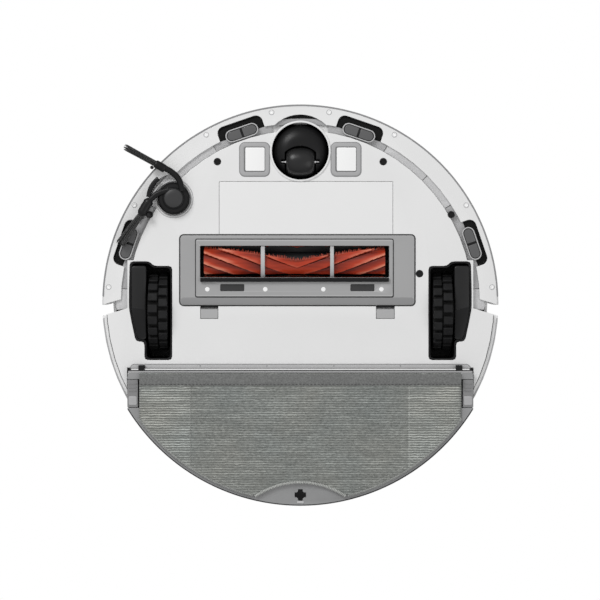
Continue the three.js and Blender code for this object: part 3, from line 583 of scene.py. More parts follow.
def channel_ring():
    """The gray floor of the channel between the underside and the bumper, in lengths, and a black
    strip of painted shade in the gap ahead of the caster.
    """
    seams = (-92.4, -85.5, -57, -45, -29, -9, 9, 29, 45, 57, 85.5, 92.4)
    for i, (first, last) in enumerate(zip(seams, seams[1:])):
        tone = CHANNEL_LIGHT if i in (0, 2, 3, 7, 8, 10) else CHANNEL
        inner = CASTER_CLEARANCE if first == -9 else CHANNEL_INNER
        ring_part(f"channel_floor_{i + 1}", (inner, CHANNEL_OUTER),
                  (first + SEAM_DEGREES, last - SEAM_DEGREES), (14.2, 14.8), 0.12, tone,
                  "gray_plastic")
    # Painted shade: a black strip in the gap ahead of the caster.
    ring_part("front_gap_shade", (160.7, 166.2), (-9, 9), (14.3, 14.9), 0.1, NOTCH_BLACK,
              "black_plastic")


def shell_edges():
    """Painted shade: a gray line round the bottom edge of the bumper and of the shell behind it,
    where their rounded edges turn away from the light.
    """
    for name, node, angles, tone, body in (
            ("bumper_edge", "bumper", (-88.2, 88.2), EDGE_GRAY, "bumper"),
            ("skirt_edge_left", "top_cover", (-120.5, -94.5), CHANNEL, "body"),
            ("skirt_edge_right", "top_cover", (94.5, 120.5), CHANNEL, "body")):
        low = span(node)[0].z
        ring_part(name, (BODY_RADIUS - 1.5, BODY_RADIUS - 0.2), angles, (low - 0.25, low + 0.2),
                  0.1, tone, "gray_plastic", body)


def screw(name, place, radius, low, high, material, body="body"):
    """A pan head with a round recess, seen from below."""
    dish = [(0, high), (radius, high), (radius, low + 0.5), (radius - 0.4, low),
            (radius * 0.62, low), (radius * 0.5, low + 0.35), (0, low + 0.4)]
    add_lathe(name, dish, place, material, body, 32)


def around(angle, radius):
    """A point at that angle from the front, clockwise as seen from above."""
    turn = math.radians(angle)
    return (radius * math.sin(turn), BODY_Y - radius * math.cos(turn))


def screws():
    places = [(-72.2, -123.4), (72.2, -123.4), (-131.5, -77.4), (131.5, -77.4), (103.8, -25.9)]
    for i, place in enumerate(places):
        screw(f"chassis_screw_{i + 1}", place, 3.1, BELLY + 0.2, BELLY + 1.9, BLACK)
    seat = [(1.9, 12.3), (1.9, 11.9), (2.4, 11.9), (2.5, 12.3)]
    for i, angle in enumerate((-85.4, -59.6, -29.3, -8.6, 8.6, 29.3, 59.6, 85.4)):
        place = around(angle, BUMPER_SCREW_CIRCLE)
        screw(f"bumper_screw_{i + 1}", place, 1.9, 11.6, 12.3, SCREW_WHITE,
              "bumper")
        add_lathe(f"bumper_screw_seat_{i + 1}", seat, place, CHANNEL, "bumper", 32)


def stadium(length, width):
    """A bar's outline with two round ends."""
    half = (length - width) / 2
    return arc((half, 0), width / 2, -90, 90, 12) + arc((-half, 0), width / 2, 90, 270, 12)


def half_stadium(length, width, side, gap):
    """One end of a stadium, cut off square at that distance from its middle."""
    half = (length - width) / 2
    turn = 0 if side > 0 else 180
    return [(side * gap, -side * width / 2),
            *arc((side * half, 0), width / 2, turn - 90, turn + 90, 14),
            (side * gap, side * width / 2)]


def sensor_eyes():
    """Light rim, dark window and two gray lenses of each cliff sensor, in its notch, which black
    sheets darken as painted shade.
    """
    for side, angle, radius in (("front_left", -19, 156.4), ("front_right", 19, 156.4),
                                ("side_left", -71, 158), ("side_right", 71, 158)):
        turn = math.radians(angle)

        def placed(outline):
            """Turns an outline drawn round the front-most point into the sensor's place."""
            return [(x * math.cos(turn) - (y - radius) * math.sin(turn),
                     BODY_Y + x * math.sin(turn) + (y - radius) * math.cos(turn))
                    for x, y in outline]

        # Painted shade: a black strip on the bumper's inner wall behind the notch.
        ring_part(f"notch_wall_{side}", (165.2, 169.4), (angle - 8.6, angle + 8.6),
                  (14.6, 15.0), 0.1, NOTCH_BLACK, "black_plastic", "bumper")
        add_plate(f"sensor_rim_{side}", [placed(stadium(29.6, 11)), placed(stadium(27.6, 9))],
                  (9.9, 11.2), 0.35, LIGHT_GRAY, "light_gray_plastic")
        add_plate(f"sensor_pane_{side}", [placed(stadium(27.2, 8.6))], (10.7, 11.2), 0.1,
                  GLOSS_BLACK, "gloss_black")
        for label, half in (("a", -1), ("b", 1)):
            add_plate(f"sensor_lens_{side}_{label}", [placed(half_stadium(26, 7.8, half, 1.0))],
                      (10.3, 10.9), 0.25, LENS, "gloss_black")
        # Painted shade: a black sheet over the notch's floor.
        reach = radius - NOTCH_REACH
        floor = [(20.6, 1.2), (-20.6, 1.2), (-20.6, reach + 5), (-18.9, reach + 1.0),
                 (-15, reach), (15, reach), (18.9, reach + 1.0), (20.6, reach + 5)]
        add_plate(f"sensor_notch_{side}", [placed(floor)], (14.15, 14.35), 0.04, NOTCH_BLACK,
                  "black_plastic")


def charging_contacts():
    """The two bright plates, each in a gray frame with a dark well and a seam round it."""
    for side in ("left", "right"):
        node = f"charge_contact_{side}"
        low, high = span(node)
        x, y = middle(node).xy
        face = rounded_box((x - 9.15, x + 9.15), (y - 10.9, y + 10.9), 1.5)
        rim = rounded_box((low.x, high.x), (low.y, high.y), 4.5)
        add_plate(f"contact_frame_{side}", [rim, face], (9.3, 10.9), 0.6, CHANNEL, "gray_plastic")
        edge = rounded_box((low.x - 0.7, high.x + 0.7), (low.y - 0.7, high.y + 0.7), 5.1)
        add_plate(f"contact_seam_{side}", [edge, face], (9.8, 10.2), 0.08, EDGE_GRAY,
                  "gray_plastic")
        add_plate(f"contact_well_{side}", [face], (9.85, 10.2), 0.05, LATCH_GRAY, "black_plastic")
        inner = rounded_box((x - 8.1, x + 8.7), (y - 10.4, y + 10.0), 1.2)
        metal = add_plate(f"contact_plate_{side}", [inner], (9.6, 10.4), 0.2, POLISHED, "steel")
        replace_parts(metal, node)


# ---- Caster ----------------------------------------------------------------------------------

def caster():
    """Domed swivel body with a slot, a barrel wheel in it, and the light ring around."""
    dome_line = flat_line([(0, 4.7), (8, 4.9), (14, 5.9), (19, 8.4), (22.4, 12.2), (23.8, 17),
                           (24, 22)], 0, 6)
    dome = lathe("caster_dome", [*[p.xy for p in dome_line], (24, 30), (4.2, 30),
                                 (4.2, 38), (0, 38)], CASTER, BLACK)
    slot_front = -4.4
    slot = [(13.7, 30), (-13.7, 30), (-13.7, slot_front + 5.6),
            *arc((0, slot_front + 19.6), 19.6, -134, -46, 14), (13.7, slot_front + 5.6)]
    cutter = plate("slot", [[(x + CASTER.x, y + CASTER.y) for x, y in slot]], (-5, 27.2), 0.4,
                   BLACK)
    axle_y = middle("caster_axle").y
    bm = bmesh.new()
    box_faces(bm, [bm.verts.new((x, y, z)) for x in (-16.8, 16.8)
                   for y in (axle_y - 1.9, axle_y + 1.9) for z in (-5, 14.9)])
    dome = carve(dome, cutter, from_bmesh("notch", bm, BLACK))
    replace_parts(on_body(dome, "caster_fork"), "caster_fork")
    barrel = flat_line([(8.8, -12.1), (10.9, -10.2), (12.4, -6.6), (13, -2), (13, 2),
                        (12.4, 6.6), (10.9, 10.2), (8.8, 12.1)], 0, 5)
    wheel = lathe("caster_barrel", [(1.9, -12.3), (8.2, -12.3), *[p.xy for p in barrel],
                                    (8.2, 12.3), (1.9, 12.3)], (axle_y, 13.0), BARREL, 96, "X")
    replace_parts(on_body(wheel, "caster_wheel"), "caster_wheel")
    add_lathe("caster_rim", [(24.8, 10.0), (24.8, 9.0), (25.1, 8.75), (26.0, 8.75), (26.6, 9.3),
                             (26.6, 10.0)], CASTER, WHITE, sides=128)


# ---- Drive wheels ----------------------------------------------------------------------------

def gearbox_cover(side, sign):
    """The smooth panel that fills the outer half of a wheel well and swings with the arm."""
    line = [(-147.3, -30.5), (-146.6, -32.2), (-145, -32.8), (-136, -32.8), (-134.4, -32),
            (-134.2, -30), (-134.2, 30), (-136, 31.6), (-140.3, 31.2), (-142.4, 28.6),
            (-145.6, 15.6), (-147.4, 4)]
    step = [(-147.0, 3.0), (-134.6, 5.5), (-134.6, 29.5), (-139.8, 30.6), (-142.0, 28.0),
            (-145.2, 15.4)]
    for name, outline, z, edge, material in (("cover", line, (10.0, 13.2), 1.3, SATIN_BLACK),
                                             ("step", step, (9.7, 10.6), 0.35, BLACK)):
        add_plate(f"gearbox_{name}_{side}", [[(-sign * x, y) for x, y in outline]], z, edge,
                  material, "black_plastic", f"{side}_arm")


TEETH = 20
TREAD_DEPTH = 3.6
RIM_RADIUS = 26.1


def drive_tyre(side, sign):
    """Carcass and two staggered rows of bevelled tread blocks."""
    inner, outer = sorted(abs(x) for x in (tyre_low.x, tyre_high.x))
    root = WHEEL_RADIUS - TREAD_DEPTH
    carcass = [(RIM_RADIUS, sign * inner), (root - 0.6, sign * inner), (root, sign * (inner + 0.7)),
               (root, sign * (outer - 0.7)), (root - 0.6, sign * outer),
               (RIM_RADIUS, sign * outer)]
    body = f"{side}_wheel"
    ring = lathe(f"tyre_carcass_{side}", carcass, WHEEL_CENTRE, NOTCH_BLACK, 96, "X")
    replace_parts(on_body(ring, body), f"drive_tyre_{side}")
    bm = bmesh.new()
    for x0, x1, shift in ((inner + 0.2, inner + 7.7, 0.0), (inner + 8.7, outer - 0.2, 0.5)):
        for i in range(TEETH):
            turn = math.tau * (i + shift + 0.25) / TEETH
            block = []
            for radius, half in ((root - 0.8, 0.37), (WHEEL_RADIUS, 0.335)):
                for at in (turn - half * math.tau / TEETH, turn + half * math.tau / TEETH):
                    for x in (x0, x1):
                        block.append(bm.verts.new((sign * x,
                                                   WHEEL_CENTRE[0] + radius * math.cos(at),
                                                   WHEEL_CENTRE[1] + radius * math.sin(at))))
            box_faces(bm, block)
    on_body(soften(from_bmesh(f"tread_blocks_{side}", bm, TYRE), 0.7, 3), body)


# ---- Main brush ------------------------------------------------------------------------------

VANES = 3
EDGE_TWIST = math.radians(0.65)     # slope of a vane's ragged edge, per mm along the roller
FOLD_TWIST = math.radians(1.6)      # slope of the folds across a vane
FOLD_PITCH = math.radians(38)
FOLD_START = math.radians(-27)      # where a fold ends at the apex
CORE = 9.2                          # radius of the black carrier
VANE_BACK = 13.6                    # radius where a fold starts
VANE_LIMIT = 15.5                   # radius that no fold or lip goes past
FOLD_RISE = 1.2
LIP_RISE = 0.9
CREASE_DEPTH = 0.8
CREASE_WIDTH = 0.07                 # as a share of a fold, and of a vane for its lip


def vane_turn(x, vane):
    """The angle of a vane's ragged edge at that x: one way up to the apex, then back."""
    return math.tau * vane / VANES - math.radians(93) - abs(x - ROLLER_APEX) * EDGE_TWIST


def vane_span(x):
    """How far round the roller a vane reaches; it widens towards the roller's ends."""
    return math.radians(54 + 0.62 * abs(x - ROLLER_APEX))


def roller_point(x, turn, radius):
    """A place on or in the main brush, by its angle round the roller's axis."""
    return Vector((x, ROLLER_CENTRE[0] + radius * math.cos(turn),
                   ROLLER_CENTRE[1] + radius * math.sin(turn)))


def vane_back(x, share, turn):
    """Radius and painted shading of a vane's back: a lip along its edge, then overlapping folds."""
    reach = abs(x - ROLLER_APEX)
    fold = ((turn - FOLD_START + reach * FOLD_TWIST) / FOLD_PITCH) % 1.0
    deep = min(1.0, 0.25 + reach / 30)
    lip = math.exp(-(share / CREASE_WIDTH) ** 2)
    crease = math.exp(-(fold / CREASE_WIDTH) ** 2)
    radius = VANE_BACK + FOLD_RISE * fold * deep + LIP_RISE * lip - CREASE_DEPTH * crease
    radius += 0.12 * noise.noise(Vector((x * 0.2, turn * 6, 3)))
    # Painted shading: darker at a fold's start and in its crease, paler towards its crest and on
    # the lip, with a painted highlight on the folds towards the roller's ends.
    pale = max(0.0, min(1.0, (reach - 38) / 40)) * max(0.0, (fold - 0.55) / 0.45)
    painted_fold_shading = 0.6 * (1 - deep) + (0.2 + 0.5 * fold) * deep + 0.45 * pale
    return min(VANE_LIMIT, radius), painted_fold_shading - 0.35 * crease * deep + 0.12 * lip


def roller_blades():
    """Three broad rubber vanes wrapped round a black carrier, hollow under their edges, whose tail
    walls and hollows are black as painted shade.
    """
    x0, x1 = fins_low.x, fins_high.x
    steps, across = 150, 60
    bm = bmesh.new()
    # Holds each vertex's painted shade and painted highlight for the vanes' colour.
    painted_fold_shading = bm.verts.layers.float.new("painted_fold_shading")
    for vane in range(VANES):
        rows = []
        for i in range(steps + 1):
            x = x0 + (x1 - x0) * i / steps
            start, reach = vane_turn(x, vane), vane_span(x)
            row = []
            for k in range(across + 1):
                turn = start + reach * k / across
                radius, level = vane_back(x, k / across, turn)
                vertex = bm.verts.new(roller_point(x, turn, radius))
                vertex[painted_fold_shading] = level
                row.append(vertex)
            for turn, radius in ((reach + 0.03, 12.0), (reach + 0.05, CORE), (0.5, CORE),
                                 (0.36, 10.4), (0.2, 12.0), (0.05, 13.4)):
                row.append(bm.verts.new(roller_point(x, start + turn, radius)))
            rows.append(row)
        # Faces past a vane's back are black: the carrier, and, as painted shade, the vane's tail
        # wall and the hollow under its edge.
        for i, face in enumerate(sleeve(bm, rows)):
            face.material_index = int(i % len(rows[0]) >= across)
    blades = from_bmesh("roller_blades", bm, ORANGE, 60)
    blades.data.materials.append(BLACK)
    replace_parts(on_body(blades, "main_brush"), "brush_fins")


TUFT_SPACING = 1.2


def roller_bristles():
    """Ragged tufts that stand on the vanes' edges."""
    draw = random.Random(11)
    bm = bmesh.new()
    for vane in range(VANES):
        x = fins_low.x + 1
        while x < fins_high.x - 1:
            turn = vane_turn(x, vane) + draw.uniform(-0.02, 0.02)
            lean = draw.uniform(-0.9, 0.9)
            back = draw.uniform(0.05, 0.17)
            line = [roller_point(x, turn + 0.06, VANE_BACK),
                    roller_point(x + lean * 0.4, turn, 14.7),
                    roller_point(x + lean, turn - back, draw.uniform(14.8, 15.7))]
            add_tube(bm, line, (0.7, 0.5, 0.2), 5)
            x += TUFT_SPACING * draw.uniform(0.7, 1.2)
    on_body(from_bmesh("roller_tufts", bm, ORANGE_TIP, 60), "main_brush")


def grown(low, high, amount, radius):
    """A rounded box that reaches past two corners by that amount."""
    return rounded_box((low.x - amount, high.x + amount), (low.y - amount, high.y + amount),
                       radius)


def brush_cover():
    """Plate, raised frame with a shadow line round it, guard bars and the small insets."""
    rim = grown(cover_low, cover_high, 0, 3)
    window = rounded_box((-87.2, 77.2), (-50.1, -22.6), 0.8)
    groove = rounded_box((-91.6, 81.3), (-56.4, -5.1), 1.8)
    raised = rounded_box((-90.8, 80.5), (-55.6, -6), 1.4)
    band = rounded_box((cover_low.x + 0.6, cover_high.x - 0.6), (-5.2, cover_high.y - 0.6), 2.4)
    sockets = [rounded_box(x, (-16.8, -10.7), 0.8) for x in ((-69.6, -48.8), (43.6, 64.4))]
    layers = (("cover_plate", [rim, window], (8.5, 11.2), 0.6, COVER_GRAY, "gray_plastic"),
              ("cover_shadow_line", [groove, window], (8.25, 8.6), 0.08, DARK_LINE,
               "gray_plastic"),
              ("cover_frame", [raised, window, *sockets], (7.2, 8.7), 0.45, COVER_GRAY,
               "gray_plastic"),
              ("cover_band", [band], (8.35, 8.7), 0.15, BAND_GRAY, "gray_plastic"),
              ("cover_socket_1", [sockets[0]], (8.0, 8.5), 0.1, DARK_LINE, "black_plastic"),
              ("cover_socket_2", [sockets[1]], (8.0, 8.5), 0.1, DARK_LINE, "black_plastic"))
    pieces = [add_plate(*layer, "brush_cover") for layer in layers]
    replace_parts(pieces[0], "brush_cover")
    dot = [(0, 7.6), (2.0, 7.6), (2.0, 7.15), (1.8, 6.95), (0, 6.9)]
    for i, x in enumerate((-80.9, -30.5, 20, 70.5)):
        add_lathe(f"cover_dot_{i + 1}", dot, (x, -12.3), SCREW_WHITE,
                  "brush_cover", 32)
    for i, ends in enumerate(((-34.4, -30.8), (25.9, 29.2))):
        guard_bar(f"guard_bar_{i + 1}", *ends)


def guard_bar(name, first, last):
    """A curved bar across the window, from one side of the roller to the other."""
    bm = bmesh.new()
    section = ((first, 16.8), (last, 16.8), (last, 18.4), (first, 18.4))
    turns = [math.radians(221 + 102 * k / 40) for k in range(41)]
    sleeve(bm, [[bm.verts.new(roller_point(x, turn, radius)) for x, radius in section]
                for turn in turns])
    bar = soften(from_bmesh(name, bm, LIGHT_GRAY), 0.5, 3)
    on_body(bar, "brush_cover")


def cover_surroundings():
    """Painted shade: a dark band in the gap round the brush cover, and black sheets in the recesses
    ahead of the release tabs.
    """
    # Painted shade: a dark band filling the gap round the cover.
    outer = grown(cover_low, cover_high, 1.1, 4)
    inner = grown(cover_low, cover_high, 0.2, 3.1)
    add_plate("cover_gap_shade", [outer, inner], (9.8, 10.05), 0.05, DARK_LINE, "black_plastic")
    # Painted shade: a black sheet in each recess.
    for side in ("left", "right"):
        low, high = span(f"brush_latch_{side}")
        recess = rounded_box((low.x + 1.4, high.x - 1.4), (cover_high.y + 0.2, low.y + 1.2), 0.6)
        add_plate(f"latch_hollow_{side}", [recess], (15.3, 15.6), 0.06, BLACK, "black_plastic")


# ---- Side brush ------------------------------------------------------------------------------

ARM_HEIGHT = 3.7


def side_brush():
    """Hub and cap, two arms with a bridge between them, their holders, and the bristles."""
    hub_line = [(0, 10.6), (14.1, 10.6), (14.1, 6.2), (13.7, 5.4), (12.8, 4.9), (12.2, 4.2),
                (9.6, 3.9), (9.0, 3.1), (8.4, 2.9), (0, 2.9)]
    hub = add_lathe("sweeper_hub", hub_line, SIDE_BRUSH, BLACK, "side_brush")
    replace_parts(hub, "side_brush")
    cap_line = [(0, 3.4), (7.9, 3.4), (7.9, 2.5), (7.2, 2.0), (4, 1.75), (0, 1.7)]
    add_lathe("sweeper_cap", cap_line, SIDE_BRUSH, CAP_GRAY, "side_brush")
    bm = bmesh.new()
    arms = ([(-102.4, -97.8), (-105.7, -108), (-113, -115), (-121.8, -119.4)],
            [(-114.5, -98.5), (-124.5, -95), (-131.5, -88.8)])
    for arm in arms:
        line = flat_line(arm, ARM_HEIGHT, 8)
        add_tube(bm, line, [2.7 - 0.5 * abs(i / len(line) - 0.5) for i in range(len(line))],
                 16, 0.72)
    bridge = [Vector((x, y, ARM_HEIGHT)) for x, y in arc(SIDE_BRUSH, 21.7, 183, 233, 20)]
    add_tube(bm, bridge, [2.0] * len(bridge), 14, 0.8)
    holders = ([(-117.2, -116.6), (-121.5, -119), (-126.2, -121.6)],
               [(-130.4, -90.4), (-134.6, -83.6), (-138.6, -76.4)])
    for holder, wide in zip(holders, (3.6, 4.3)):
        line = flat_line(holder, ARM_HEIGHT, 6)
        add_tube(bm, line, [2.7, 3.6] + [wide] * (len(line) - 4) + [3.5, 2.8], 14, 0.8)
    on_body(from_bmesh("sweeper_arms", bm, BLACK, 45), "side_brush")
    pins = (((-128.9, -118.1), 1.5), ((-137.3, -74.7), 1.3), ((-131.6, -76.8), 1.9))
    for i, (place, radius) in enumerate(pins):
        pin_line = [(0, 6.2), (radius, 6.2), (radius, 2.6), (radius - 0.5, 2.1), (0, 2)]
        add_lathe(f"sweeper_pin_{i + 1}", pin_line, place, BLACK, "side_brush", 28)
    strands("front", [(-124.6, -120.7), (-139.6, -129), (-153.2, -136.6)], 1.0, 3)
    strands("rear", [(-137.6, -78), (-149.2, -62), (-157.0, -50.6)], 1.45, 5)
    for i, (inner, outer) in enumerate(((14.9, 15.6), (16.2, 17.1))):
        ring = [(inner, 10.6), (inner, 9.9), (inner + 0.2, 9.7), (outer - 0.2, 9.7), (outer, 9.9),
                (outer, 10.6)]
        add_lathe(f"sweeper_pad_ring_{i + 1}", ring, SIDE_BRUSH, LIGHT_GRAY)


TUFTS = 5
STRANDS_IN_TUFT = 8
BUNDLE_HALF_WIDTH = 2.6


def strands(end, route, splay, seed):
    """A flat bundle of stiff filaments that spreads a little towards its tips."""
    draw = random.Random(seed)
    bm = bmesh.new()
    line = flat_line(route, 3.6, 6)
    for i in range(TUFTS * STRANDS_IN_TUFT):
        tuft = (i % TUFTS + 0.5) / TUFTS * 2 - 1
        across = tuft + draw.uniform(-0.11, 0.11)
        lift = draw.uniform(-1.7, 1.7)
        bend = draw.uniform(-0.5, 0.5)
        length = draw.uniform(0.9, 1.0)
        points = []
        for k, point in enumerate(line):
            along = k / (len(line) - 1)
            aside = heading(line, k)[1]
            spread = BUNDLE_HALF_WIDTH * (1 + (splay - 1) * along * 1.6)
            centre = line[0].lerp(point, length) if along > 0.9 else point
            points.append(centre + aside * (across * spread + bend * along ** 2)
                          + Vector((0, 0, lift * (1 - 0.15 * along))))
        add_tube(bm, points, [0.34] * (len(points) - 2) + [0.28, 0.14], 6)
    bundle = from_bmesh(f"sweeper_strands_{end}", bm, BRISTLE, 60)
    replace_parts(on_body(bundle, "side_brush"), f"side_bristles_{end}")


# ---- Mop -------------------------------------------------------------------------------------

CLOTH_RADIUS = 172.5
CRESCENT_CENTRE = Vector((0, 224.4))
CRESCENT_RADIUS = 69.6
CUSP = 39.5                         # half the crescent's width, where it meets the round edge
HEM_END = 71.2
SEAMS = (-95.6, 94.4)
RIB_PITCH = 2.05
EDGE_ROUND = 2.2


def cloth_end(x):
    """The cloth's rear edge at that x: the round of the tank, or the crescent cut into it."""
    end = BODY_Y + math.sqrt(CLOTH_RADIUS ** 2 - x ** 2)
    if abs(x) < CRESCENT_RADIUS:
        end = min(end, CRESCENT_CENTRE.y - math.sqrt(CRESCENT_RADIUS ** 2 - x ** 2))
    return end


def from_edge(x, y):
    """Roughly how far a point of the cloth is from its rim."""
    round_gap = CLOTH_RADIUS - math.hypot(x, y - BODY_Y)
    bite_gap = math.hypot(x, y - CRESCENT_CENTRE.y) - CRESCENT_RADIUS
    return max(0.0, min(cloth_high.x - abs(x), y - cloth_low.y, round_gap, bite_gap))


def cloth_surface(x, y):
    """Height of the cloth's underside: ribs along X, broken up, with seams and a soft rim."""
    low = cloth_low.z + 0.15
    depth = 0.26 + 0.16 * noise.noise(Vector((x * 0.02, y * 0.25, 1)))
    drift = 1.4 * noise.noise(Vector((x * 0.012, y * 0.03, 5)))
    rib = 0.5 + 0.5 * math.cos(math.tau * (y + drift) / RIB_PITCH)
    nap = 0.22 * noise.noise(Vector((x * 0.35, y * 1.1, 9)))
    dip = sum(1.1 * math.exp(-((x - seam) / 0.9) ** 2) for seam in SEAMS)
    hem = 0.35 if y < HEM_END else 0.0
    rim = min(1.0, from_edge(x, y) / EDGE_ROUND)
    rounding = (cloth_high.z - low - 0.9) * (1 - math.sqrt(max(0.0, 1 - (1 - rim) ** 2)))
    return low + rounding + rim * (depth * rib + nap + dip + hem + 0.15)


def cloth_columns():
    """The x of each row of points across the cloth, with one at every corner of its outline."""
    bends = {round(sign * value, 3) for sign in (-1, 1) for value in (CUSP, cloth_high.x)}
    spread = {round(cloth_low.x + 0.15 + 2.33 * i, 3) for i in range(120)}
    inside = {x for x in spread if abs(x) < cloth_high.x - 1}
    return sorted(inside | bends)


ROWS = 250                          # along the cloth's depth
ROWS_PER_STEP = 10                  # of the underside to one step of the flat upper face


def mop():
    """The cloth: a ribbed underside, a flat upper face, and walls round its rim."""
    columns = cloth_columns()
    bm = bmesh.new()
    under, upper = [], []
    for x in columns:
        start, end = cloth_low.y, cloth_end(x)
        places = [start + (end - start) * j / ROWS for j in range(ROWS + 1)]
        under.append([bm.verts.new((x, y, cloth_surface(x, y))) for y in places])
        upper.append([bm.verts.new((x, y, cloth_high.z)) for y in places[::ROWS_PER_STEP]])
    strips = zip(columns, columns[1:], under, under[1:], upper, upper[1:])
    for x0, x1, below, next_below, above, next_above in strips:
        at_side = not SEAMS[0] < (x0 + x1) / 2 < SEAMS[1]
        for j in range(ROWS):
            face = bm.faces.new([below[j], below[j + 1], next_below[j + 1], next_below[j]])
            face.material_index = int(at_side)
        for j in range(ROWS // ROWS_PER_STEP):
            bm.faces.new([above[j], next_above[j], next_above[j + 1], above[j + 1]])
        bm.faces.new([below[0], next_below[0], next_above[0], above[0]])
        bm.faces.new([below[-1], above[-1], next_above[-1], next_below[-1]])
    for i in (0, -1):
        for j in range(ROWS // ROWS_PER_STEP):
            first = j * ROWS_PER_STEP
            bm.faces.new([*under[i][first:first + ROWS_PER_STEP + 1], upper[i][j + 1],
                          upper[i][j]])
    cloth = from_bmesh("mop_fabric", bm, CLOTH, 60)
    cloth.data.materials.append(CLOTH_SIDE)
    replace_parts(on_body(cloth, "tank"), "mop_cloth")
    return cloth, flat_area(columns)


def flat_area(columns):
    """Area of the cut piece of cloth in square metres."""
    total = sum((x1 - x0) * ((cloth_end(x0) + cloth_end(x1)) / 2 - cloth_low.y)
                for x0, x1 in zip(columns, columns[1:]))
    return total * MM * MM


def stitches(name, line, length, gap, radius, height, material):
    """Short threads laid end to end along a line of (x, y) points."""
    bm = bmesh.new()
    travelled = 0.0
    for (x0, y0), (x1, y1) in zip(line, line[1:]):
        reach = math.hypot(x1 - x0, y1 - y0)
        while travelled < reach:
            first, last = travelled / reach, min(1.0, (travelled + length) / reach)
            ends = [Vector((x0 + (x1 - x0) * t, y0 + (y1 - y0) * t, height)) for t in (first, last)]
            if (ends[1] - ends[0]).length > 0.4:
                middle = (ends[0] + ends[1]) / 2 - Vector((0, 0, radius * 0.5))
                add_tube(bm, [ends[0], middle, ends[1]], (radius * 0.5, radius, radius * 0.5), 6)
            travelled += length + gap
        travelled -= reach
    return on_body(from_bmesh(name, bm, material, 60), "tank")


def overlock(name, line, pitch, radius, height, material):
    """A dense zigzag of thread that wraps an edge."""
    bm = bmesh.new()
    core = [Vector((x, y, height)) for x, y in line]
    add_tube(bm, core, [radius * 0.8] * len(core), 10)
    for first, second in zip(core, core[1:]):
        ahead = (second - first).normalized()
        aside = ahead.cross(Vector((0, 0, 1)))
        for k in range(max(1, round((second - first).length / pitch))):
            base = first + ahead * pitch * k
            loop = [base + aside * radius * math.cos(t) + Vector((0, 0, radius * math.sin(t)))
                    + ahead * pitch * 0.6 * t / math.tau
                    for t in [math.pi * (0.9 + 1.2 * s / 6) for s in range(7)]]
            add_tube(bm, loop, [pitch * 0.42] * len(loop), 5)
    return on_body(from_bmesh(name, bm, material, 60), "tank")


def mop_trim():
    """Felt hem along the front, the stitched lines and the bound edges."""
    side = cloth_high.x - 0.2
    front = cloth_low.y + 0.6
    hem = [(-side, front), (side, front), (side, HEM_END), (-side, HEM_END)]
    pieces = [add_plate("mop_hem", [hem], (cloth_low.z - 0.05, cloth_low.z + 0.95), 0.35, FELT,
                        "mop_cloth", "tank")]
    hem_row = [(-side + 0.8, HEM_END - 1.1), (side - 0.8, HEM_END - 1.1)]
    pieces.append(stitches("mop_hem_stitches", hem_row, 2.3, 0.9, 0.32, cloth_low.z,
                           DARK_STITCH))
    half = math.degrees(math.asin(CUSP / CRESCENT_RADIUS))
    crescent = arc(CRESCENT_CENTRE, CRESCENT_RADIUS - 0.2, -90 - half, -90 + half, 60)
    pieces.append(overlock("mop_crescent_edge", crescent, 1.1, 1.25, cloth_low.z + 1.7, STITCH))
    for name, first, last in (("mop_arc_left", 144.2, 103.9), ("mop_arc_right", 76.1, 35.8)):
        line = arc((0, BODY_Y), CLOTH_RADIUS - 4.2, first, last, 60)
        pieces.append(stitches(name, line, 2.2, 0.5, 0.3, cloth_low.z + 0.42, STITCH))
        rim = arc((0, BODY_Y), CLOTH_RADIUS - 0.3, first, last, 60)
        pieces.append(overlock(name + "_bound", rim, 1.1, 1.0, cloth_low.z + 1.9, RIM_THREAD))
    for i, seam in enumerate(SEAMS):
        line = [(seam, HEM_END + 0.3), (seam, cloth_end(seam) - 2.5)]
        pieces.append(stitches(f"mop_seam_{i + 1}", line, 2.0, 0.8, 0.3, cloth_low.z + 0.75,
                               STITCH))
    return pieces


# ---- Tank trim -------------------------------------------------------------------------------

def half_round_bar(half, y, radius):
    """A bar across the robot with its two front corners rounded and its rear ones square."""
    return [(half, y[1]), (-half, y[1]),
            *arc((-half + radius, y[0] + radius), radius, 180, 270, 6),
            *arc((half - radius, y[0] + radius), radius, 270, 360, 6)]


def tank_brow():
    """The light strip along the tank's front edge, with its four marks."""
    for name, line, z, edge, material in (
            ("tank_brow_edge", half_round_bar(148.2, (52.7, 56.6), 3.8), (9.0, 9.6), 0.1,
             EDGE_GRAY),
            ("tank_brow", half_round_bar(147.5, (53.4, 56.6), 3.1), (8.6, 9.2), 0.25,
             LIGHT_GRAY)):
        add_plate(name, [line], z, edge, material, "smoke_plastic", "tank")
    for i, x in enumerate((-87.2, -29.1, 29.1, 87.2)):
        mark = rounded_box((x - 0.3, x + 0.3), (53.6, 55.0), 0.1)
        add_plate(f"tank_brow_mark_{i + 1}", [mark], (8.4, 8.9), 0.05, EDGE_GRAY,
                  "smoke_plastic", "tank")


